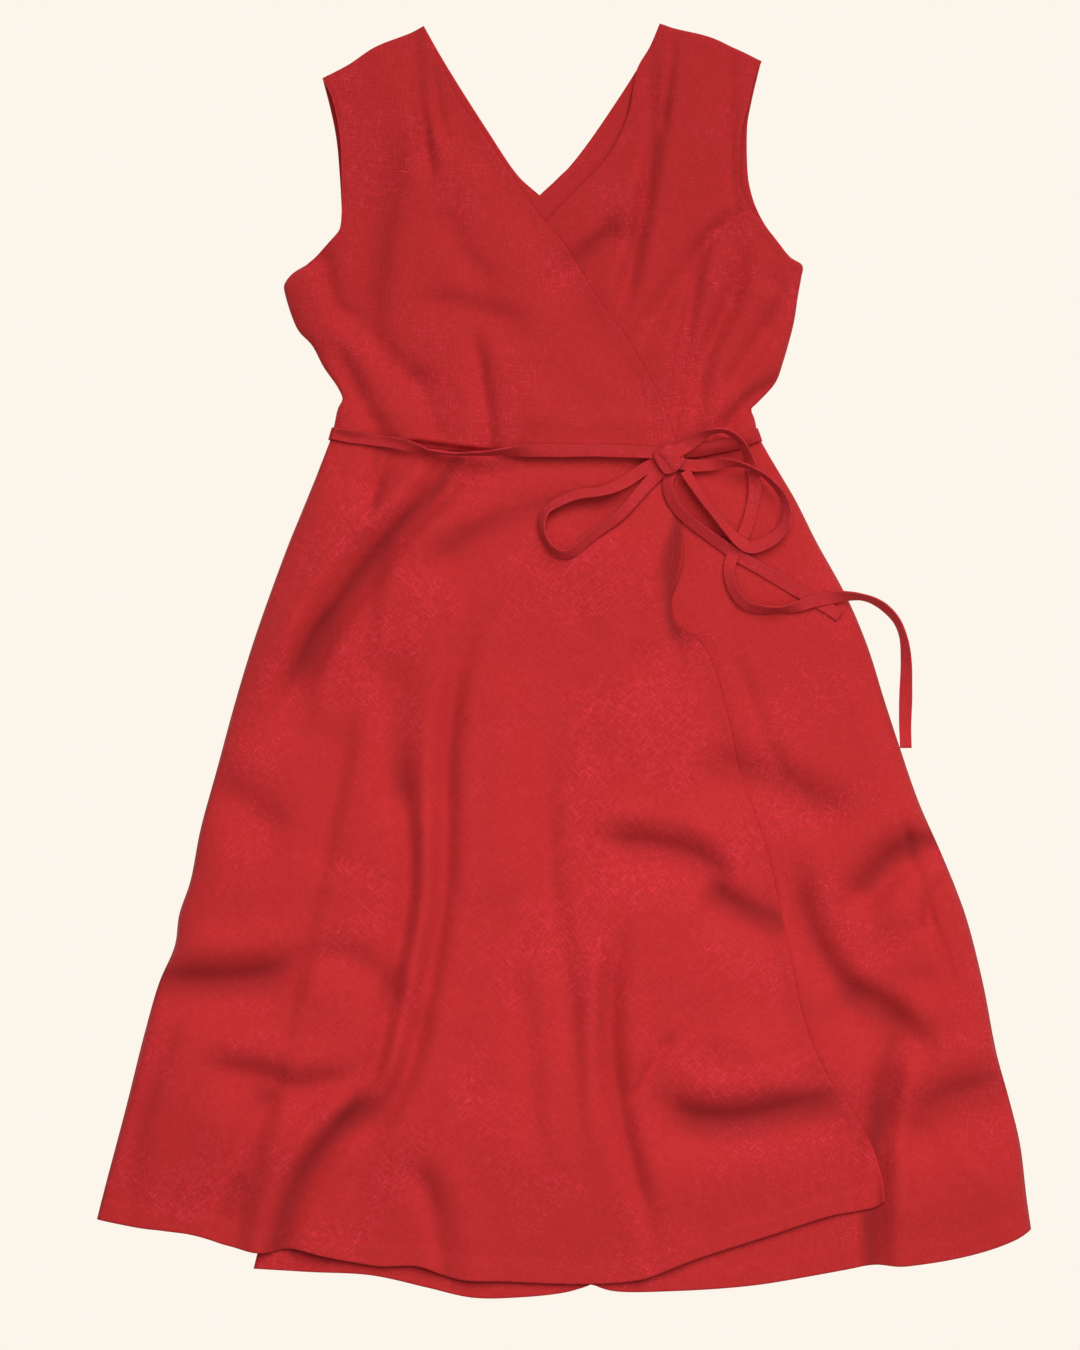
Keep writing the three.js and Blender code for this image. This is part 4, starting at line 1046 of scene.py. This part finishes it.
def cloth_top(x, y):
    """Height of the cloth's upper side, or 0 beside the dress."""
    _, left, right, shoulder = sides(x, y)
    on_back = (x > left) & (x < right) & (y < shoulder) & (y > back_hem_y(x))
    on_under = on_back & (x > under_edge_x(y))
    on_over = (x > left) & (x < over_edge_x(y)) & (y < shoulder) & (y > over_hem_y(x))
    top = np.where(on_back, back_underside(x, y) + CLOTH, 0.0)
    top = np.where(on_under, under_front_underside(x, y) + CLOTH, top)
    return np.where(on_over, over_front_underside(x, y) + CLOTH, top)


print("cloth on the middle of the skirt:", cloth_top(*MIDDLE).round(1), "mm up")

# %% [markdown]
# Each strip follows the cloth at its middle and sags at its sides where the table lets it
# drape. It could be a curve with a flat bevel, but that wouldn't know what lies beneath. Its
# width and roll are a little uneven, as those of a strip that was folded by hand.

# %% Strips of the tie
STRIP_STEP = 2.0
LINE_STEPS = 12  # steps of a route's smooth line from one row of its table to the next
HALF_TIE = TIE_WIDTH / 2
ACROSS = np.array([-1, -0.93, -0.8, -0.5, -0.17, 0.17, 0.5, 0.8, 0.93, 1])
WIDTH_UNEVEN = 0.12
ROLL_UNEVEN = math.radians(14)


def eased(values, reach):
    """The highest of the values near each place, smoothed along the strip."""
    count = len(values)
    high = np.array([values[max(i - reach, 0) : i + reach + 1].max() for i in range(count)])
    return np.convolve(np.pad(high, 4, mode="edge"), np.ones(9) / 9, mode="valid")


def strip_places(rows):
    """A strip's middle line in space, and its half width as a direction, at every step."""
    line = smooth_line(rows, LINE_STEPS)
    length = lengths_along(line)
    count = max(int(length[-1] / STRIP_STEP), 8)
    middle = at_shares(line, np.linspace(0, 1, count))
    at = np.linspace(0, length[-1], count)
    lift, roll, drape = [
        np.interp(at, length[::LINE_STEPS], [row.get(key, 0) for row in rows])
        for key in ("lift", "roll", "drape")
    ]
    roll = np.radians(roll)
    ahead = np.gradient(middle, axis=0)
    ahead /= np.linalg.norm(ahead, axis=1)[:, None]
    level = np.stack([-ahead[:, 1], ahead[:, 0]], axis=-1)
    spots = [
        middle + level * side * HALF_TIE + ahead * step
        for side in (-1, 0, 1) for step in (-3, 0, 3)
    ]
    below = [cloth_top(spot[:, 0], spot[:, 1]) for spot in spots]
    highest = eased(np.max(below, axis=0), 2)
    height = highest + lift + np.sin(np.abs(roll)) * HALF_TIE + TIE_CLOTH / 2 + 0.1
    beside = [eased(np.max(below[start : start + 3], axis=0), 1) - highest for start in (0, 3, 6)]
    sag = np.array([drape * np.minimum(side, 0) for side in beside])
    uneven = np.array([noise.noise(Vector((step / 30, len(rows), 0.5))) for step in at])
    half = (HALF_TIE * (1 + WIDTH_UNEVEN * uneven))[:, None]
    roll = roll + ROLL_UNEVEN * uneven * np.sin(np.minimum(np.abs(roll) * 3, 1.5))
    wide = np.column_stack([level * np.cos(roll)[:, None], np.sin(roll)]) * half
    return np.column_stack([middle, height]), wide, sag


def strip_piece(name, node, centre, wide, sag=None):
    """A strip of the tie, laid along its middle line and sagging at its sides."""
    places = centre[None] + wide[None] * ACROSS[:, None, None]
    if sag is not None:
        shares = np.clip([-ACROSS, 1 - np.abs(ACROSS), ACROSS], 0, 1)
        places[..., 2] += np.einsum("sa,sc->ac", shares, sag)
    piece = sheet_of(name, places, TIE_CLOTH, 0, linen_tie)
    stands_for(piece, node)
    print(name, round(lengths_along(centre)[-1]), "mm long")
    return piece


strips = {}
for name, node, rows in (
    ("tie_front_left", "tie_waist_left", WAIST_TIE),
    ("tie_front_right", "tie_waist_right", WAIST_TIE_RIGHT),
    ("tie_left_loop", "bow_left_loop", LEFT_LOOP),
    ("tie_right_loop", "bow_right_loop", RIGHT_LOOP),
    ("tie_short_end", "bow_short_tail", SHORT_TAIL),
    ("tie_long_end", "bow_long_tail", LONG_TAIL),
):
    centre, wide, sag = strip_places(rows)
    strips[name] = (strip_piece(name, node, centre, wide, sag), centre, wide, sag)

# %% [markdown]
# The tie goes on round the back, between the dress and the table, and turns up at both sides.

# %% Tie round the back
SIDE_CLEAR = 1.2  # from the dress's side to the tie's middle
LAP = 2.0  # how far the turned-up tie reaches over the front
BEND = 0.35  # how much the corners of its bends are cut
SIDE_RISE = 1.1  # height that each of its bends takes up


def turn_up(out, at_waist):
    """The turn of the tie round one side, from under the dress to the top of it."""
    x_at = {-1: (bodice_left_x, skirt_left_x), 1: (bodice_right_x, skirt_right_x)}[out]
    upper, lower = x_at[0](at_waist + HALF_TIE), x_at[1](at_waist - HALF_TIE)
    slant = (upper - lower) / 2
    side = (upper + lower) / 2
    lap_x = np.array([side - out * LAP / 2])
    over = float(cloth_top(lap_x, waist_y(lap_x))[0]) + BEND + TIE_CLOTH / 2
    under = TIE_CLOTH / 2
    profile = [
        (side - out * LAP, under), (side + out * (SIDE_CLEAR - BEND), under + BEND),
        (side + out * SIDE_CLEAR, under + SIDE_RISE), (side + out * SIDE_CLEAR, over - SIDE_RISE),
        (side + out * (SIDE_CLEAR - BEND), over - BEND), (side - out * 1.2, over),
        (side - out * LAP, over),
    ]
    return [((px, float(waist_y(px)), z), (slant, HALF_TIE, 0)) for px, z in profile]


under_dress = [
    ((x, float(waist_y(x)), TIE_CLOTH / 2), (0, HALF_TIE, 0))
    for x in np.linspace(waist_left + 20, waist_right - 20, 30)
]
route = [*turn_up(-1, WAIST[0]["y"])[::-1], *under_dress, *turn_up(1, WAIST[-1]["y"])]
centre = np.array([place for place, _ in route], float)
wide = np.array([side for _, side in route], float)
back_tie = strip_piece("tie_round_back", "tie_waist_back", centre, wide)
strips["tie_round_back"] = (back_tie, centre, wide, None)

# %% [markdown]
# The knot is the tie wrapped once round itself and pulled tight: a small cushion of folded
# cloth, crossed by one turn of the strip.

# %% Knot
KNOT_OUTLINE = table(
    "x y",
    (79.5, 185.4), (86, 190.5), (94, 194), (101.5, 190.5), (107.5, 180), (102, 170.5),
    (90.5, 167.5), (83.5, 176),
)
KNOT_TALL = 8.0
CROSSING = math.radians(-52)  # direction of the turn that crosses the knot
CROSSING_HALF = (5.4, 6.6)  # half width of that turn, where it starts and ends to fall off
CROSSING_RISE = 2.6
KNOT_SINK = 2.0  # how far the cushion is pressed down beside the turn
closed = smooth_line([*KNOT_OUTLINE[-2:], *KNOT_OUTLINE, *KNOT_OUTLINE[:2]])[24:-24]
knot_middle = closed.mean(0)
knot_base = float(cloth_top(closed[:, 0], closed[:, 1]).max()) + SEAM_GAP
spokes = closed - knot_middle
angles = np.arctan2(spokes[:, 1], spokes[:, 0]) % (2 * math.pi)
order = np.argsort(angles)
reaches = np.linalg.norm(spokes, axis=1)[order]
mesh = bmesh.new()
bmesh.ops.create_uvsphere(mesh, u_segments=48, v_segments=28, radius=1)
uv = mesh.loops.layers.uv.new("Cloth")
for vertex in mesh.verts:
    angle = math.atan2(vertex.co.y, vertex.co.x) % (2 * math.pi)
    reach = np.interp(angle, angles[order], reaches, period=2 * math.pi)
    reach *= math.hypot(vertex.co.x, vertex.co.y) ** 0.8
    px, py = math.cos(angle) * reach, math.sin(angle) * reach
    across = -px * math.sin(CROSSING) + py * math.cos(CROSSING)
    crossing = 1 - smooth(abs(across - 1), *CROSSING_HALF)
    tuck = 0.3 * math.cos(across * 2.0) * (1 - crossing) + 0.2 * math.cos(across * 0.9)
    height = math.copysign(abs(vertex.co.z) ** 0.75, vertex.co.z)
    raised = CROSSING_RISE * crossing - KNOT_SINK + tuck + 0.1 * (py - px)
    z = knot_base + KNOT_TALL / 2 * (1 + height) + raised * max(height, 0)
    vertex.co = Vector((knot_middle[0] + px, knot_middle[1] + py, z)) * MM
for face in mesh.faces:
    face.smooth = True
    for corner in face.loops:
        corner[uv].uv = corner.vert.co.xy
knot = object_of("tie_knot", mesh, linen_tie)
stands_for(knot, "bow_knot")
print("knot", knot.dimensions)

# %% [markdown]
# Each stitch is a tiny bead of thread, half sunk in the cloth. One row of them follows each
# turned edge of the fronts, as far as it is in view, and the back's neck, and one follows an
# edge of each strip of the tie but the one round the back.

# %% Stitches
STITCH_PITCH = 3.2
STITCH_LONG = 1.15
STITCH_WIDE = 0.32
STITCH_PROUD = 0.08  # how far a stitch's middle stands over the cloth
TIE_STITCH = 0.72  # share of the tie's half width at which its row of stitches runs


def stitch_row(name, places):
    """A row of stitches along a line of places in space."""
    count = int(lengths_along(places)[-1] / STITCH_PITCH)
    spots = at_shares(places, (np.arange(count) + 0.5) / count)
    size = Matrix.Diagonal((STITCH_LONG, STITCH_WIDE, STITCH_WIDE, 1))
    mesh = bmesh.new()
    for spot, ahead in zip(spots, np.gradient(spots, axis=0)):
        turn = Vector(ahead).to_track_quat("X", "Z").to_matrix().to_4x4()
        place = Matrix.Scale(MM, 4) @ Matrix.Translation(Vector(spot)) @ turn @ size
        bmesh.ops.create_icosphere(mesh, subdivisions=1, radius=1, matrix=place)
    made = object_of(name, mesh, thread)
    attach(made, "root")
    print(name, count)


def stitches_on(name, band, inward, underside, slot, shown):
    """Stitches inside a turned edge, left of its way if inward is 1 and right if it is -1."""
    line = at_shares(band["line"], np.linspace(0, 1, 400))
    ahead = np.gradient(line, axis=0)
    ahead /= np.linalg.norm(ahead, axis=1)[:, None]
    line = line + np.stack([-ahead[:, 1], ahead[:, 0]], axis=-1) * inward * band["stitch"]
    if shown:
        line = line[shown(line[:, 0], line[:, 1])]
    x, y = line.T
    z = underside(x, y) + CLOTH + turned_edges([band], x, y) + STITCH_PROUD
    stitch_row("stitches_" + name, np.column_stack([x, y, z]))


# %% Rows of stitches
ROWS = table(
    "name band inward underside",
    ("over_neck", over_neck_band, -1, over_front_underside),
    ("over_edge", over_edge_band, -1, over_front_underside),
    ("over_hem", over_hem_band, 1, over_front_underside),
    ("over_armhole", over_arm_band, 1, over_front_underside),
    ("under_armhole", under_arm_band, -1, under_front_underside),
    ("under_neck", under_neck_band, 1, under_front_underside),
    ("under_hem", under_hem_band, 1, under_front_underside),
    ("back_neck", back_neck_band, -1, back_underside),
)
# Where a row would run on under another panel, only the stretch in view is sewn
IN_VIEW = {
    "under_neck": lambda x, y: x > over_edge_x(y) + 4,
    "under_hem": lambda x, y: (x > 292) & (x < 412),
}
for row in ROWS:
    slot = "linen_back" if row["name"] == "back_neck" else "linen_front"
    stitches_on(**row, slot=slot, shown=IN_VIEW.get(row["name"]))
for name, (piece, centre, wide, sag) in strips.items():
    if sag is None:
        continue
    normal = np.cross(np.gradient(centre, axis=0), wide)
    normal /= np.linalg.norm(normal, axis=1)[:, None]
    edge = centre + wide * TIE_STITCH + normal * TIE_CLOTH / 2
    edge[:, 2] += sag[1] * (1 - TIE_STITCH) + sag[2] * TIE_STITCH
    stitch_row(name + "_stitches", edge)

# %% [markdown]
# The photograph looks straight down on a pale surface that throws no shadow, so the floor
# glows evenly. Soft light comes from the shoulders' end, a little from the right, and a large
# soft box hangs over the right of the skirt, so that the shoulders are darker.

# %% Floor and light
FLOOR_DROP = 0.3 * MM
WINDOW_FROM = (0.32, 0.8, 1.15)
SOFTBOX_AT = (0.1, -0.22, 0.72)

paper = bare_material("Lit white table")
tree = paper.node_tree
glow = add(tree, "Emission", {"Color": linear("#FCF5EB"), "Strength": 1.0})
add(tree, "OutputMaterial", {"Surface": glow})
mesh = bmesh.new()
bmesh.ops.create_grid(mesh, x_segments=1, y_segments=1, size=6)
bmesh.ops.translate(mesh, verts=mesh.verts, vec=(0, 0, -FLOOR_DROP))
object_of("floor", mesh, paper)

sun = bpy.data.lights.new("window", "SUN")
sun.energy = 2.5
sun.angle = math.radians(50)
window = bpy.data.objects.new("window", sun)
window.rotation_euler = Vector(WINDOW_FROM).to_track_quat("Z", "Y").to_euler()
lamp = bpy.data.lights.new("softbox", "AREA")
lamp.shape = "DISK"
lamp.size = 1.1
lamp.energy = 2.8
softbox = bpy.data.objects.new("softbox", lamp)
softbox.location = SOFTBOX_AT
softbox.visible_camera = False
world = bpy.data.worlds.new("room")
world.use_nodes = True
world.node_tree.nodes["Background"].inputs[0].default_value = linear("#FFFDFA")
world.node_tree.nodes["Background"].inputs[1].default_value = 0.14
bpy.context.scene.world = world
bpy.context.scene.view_settings.view_transform = "Standard"
for light in (window, softbox):
    bpy.context.scene.collection.objects.link(light)
    print(light.name, light.data.energy)

# %% [markdown]
# A long lens from high above sees the dress without perspective, as a copy stand does. Its
# height follows from how much of the surface the photograph shows.

# %% Camera
VIEW_HEIGHT = 1215.0  # how much of the surface the picture's height shows
VIEW_MIDDLE = (-21.6, -12.6)
LENS = 100.0
FILM = 36.0
lens = bpy.data.cameras.new("camera")
lens.lens = LENS
lens.sensor_width = FILM
lens.clip_end = 20
camera = bpy.data.objects.new("camera", lens)
camera.location = Vector((*VIEW_MIDDLE, VIEW_HEIGHT * LENS / FILM)) * MM
bpy.context.scene.collection.objects.link(camera)
bpy.context.scene.camera = camera
print("camera at", camera.location)
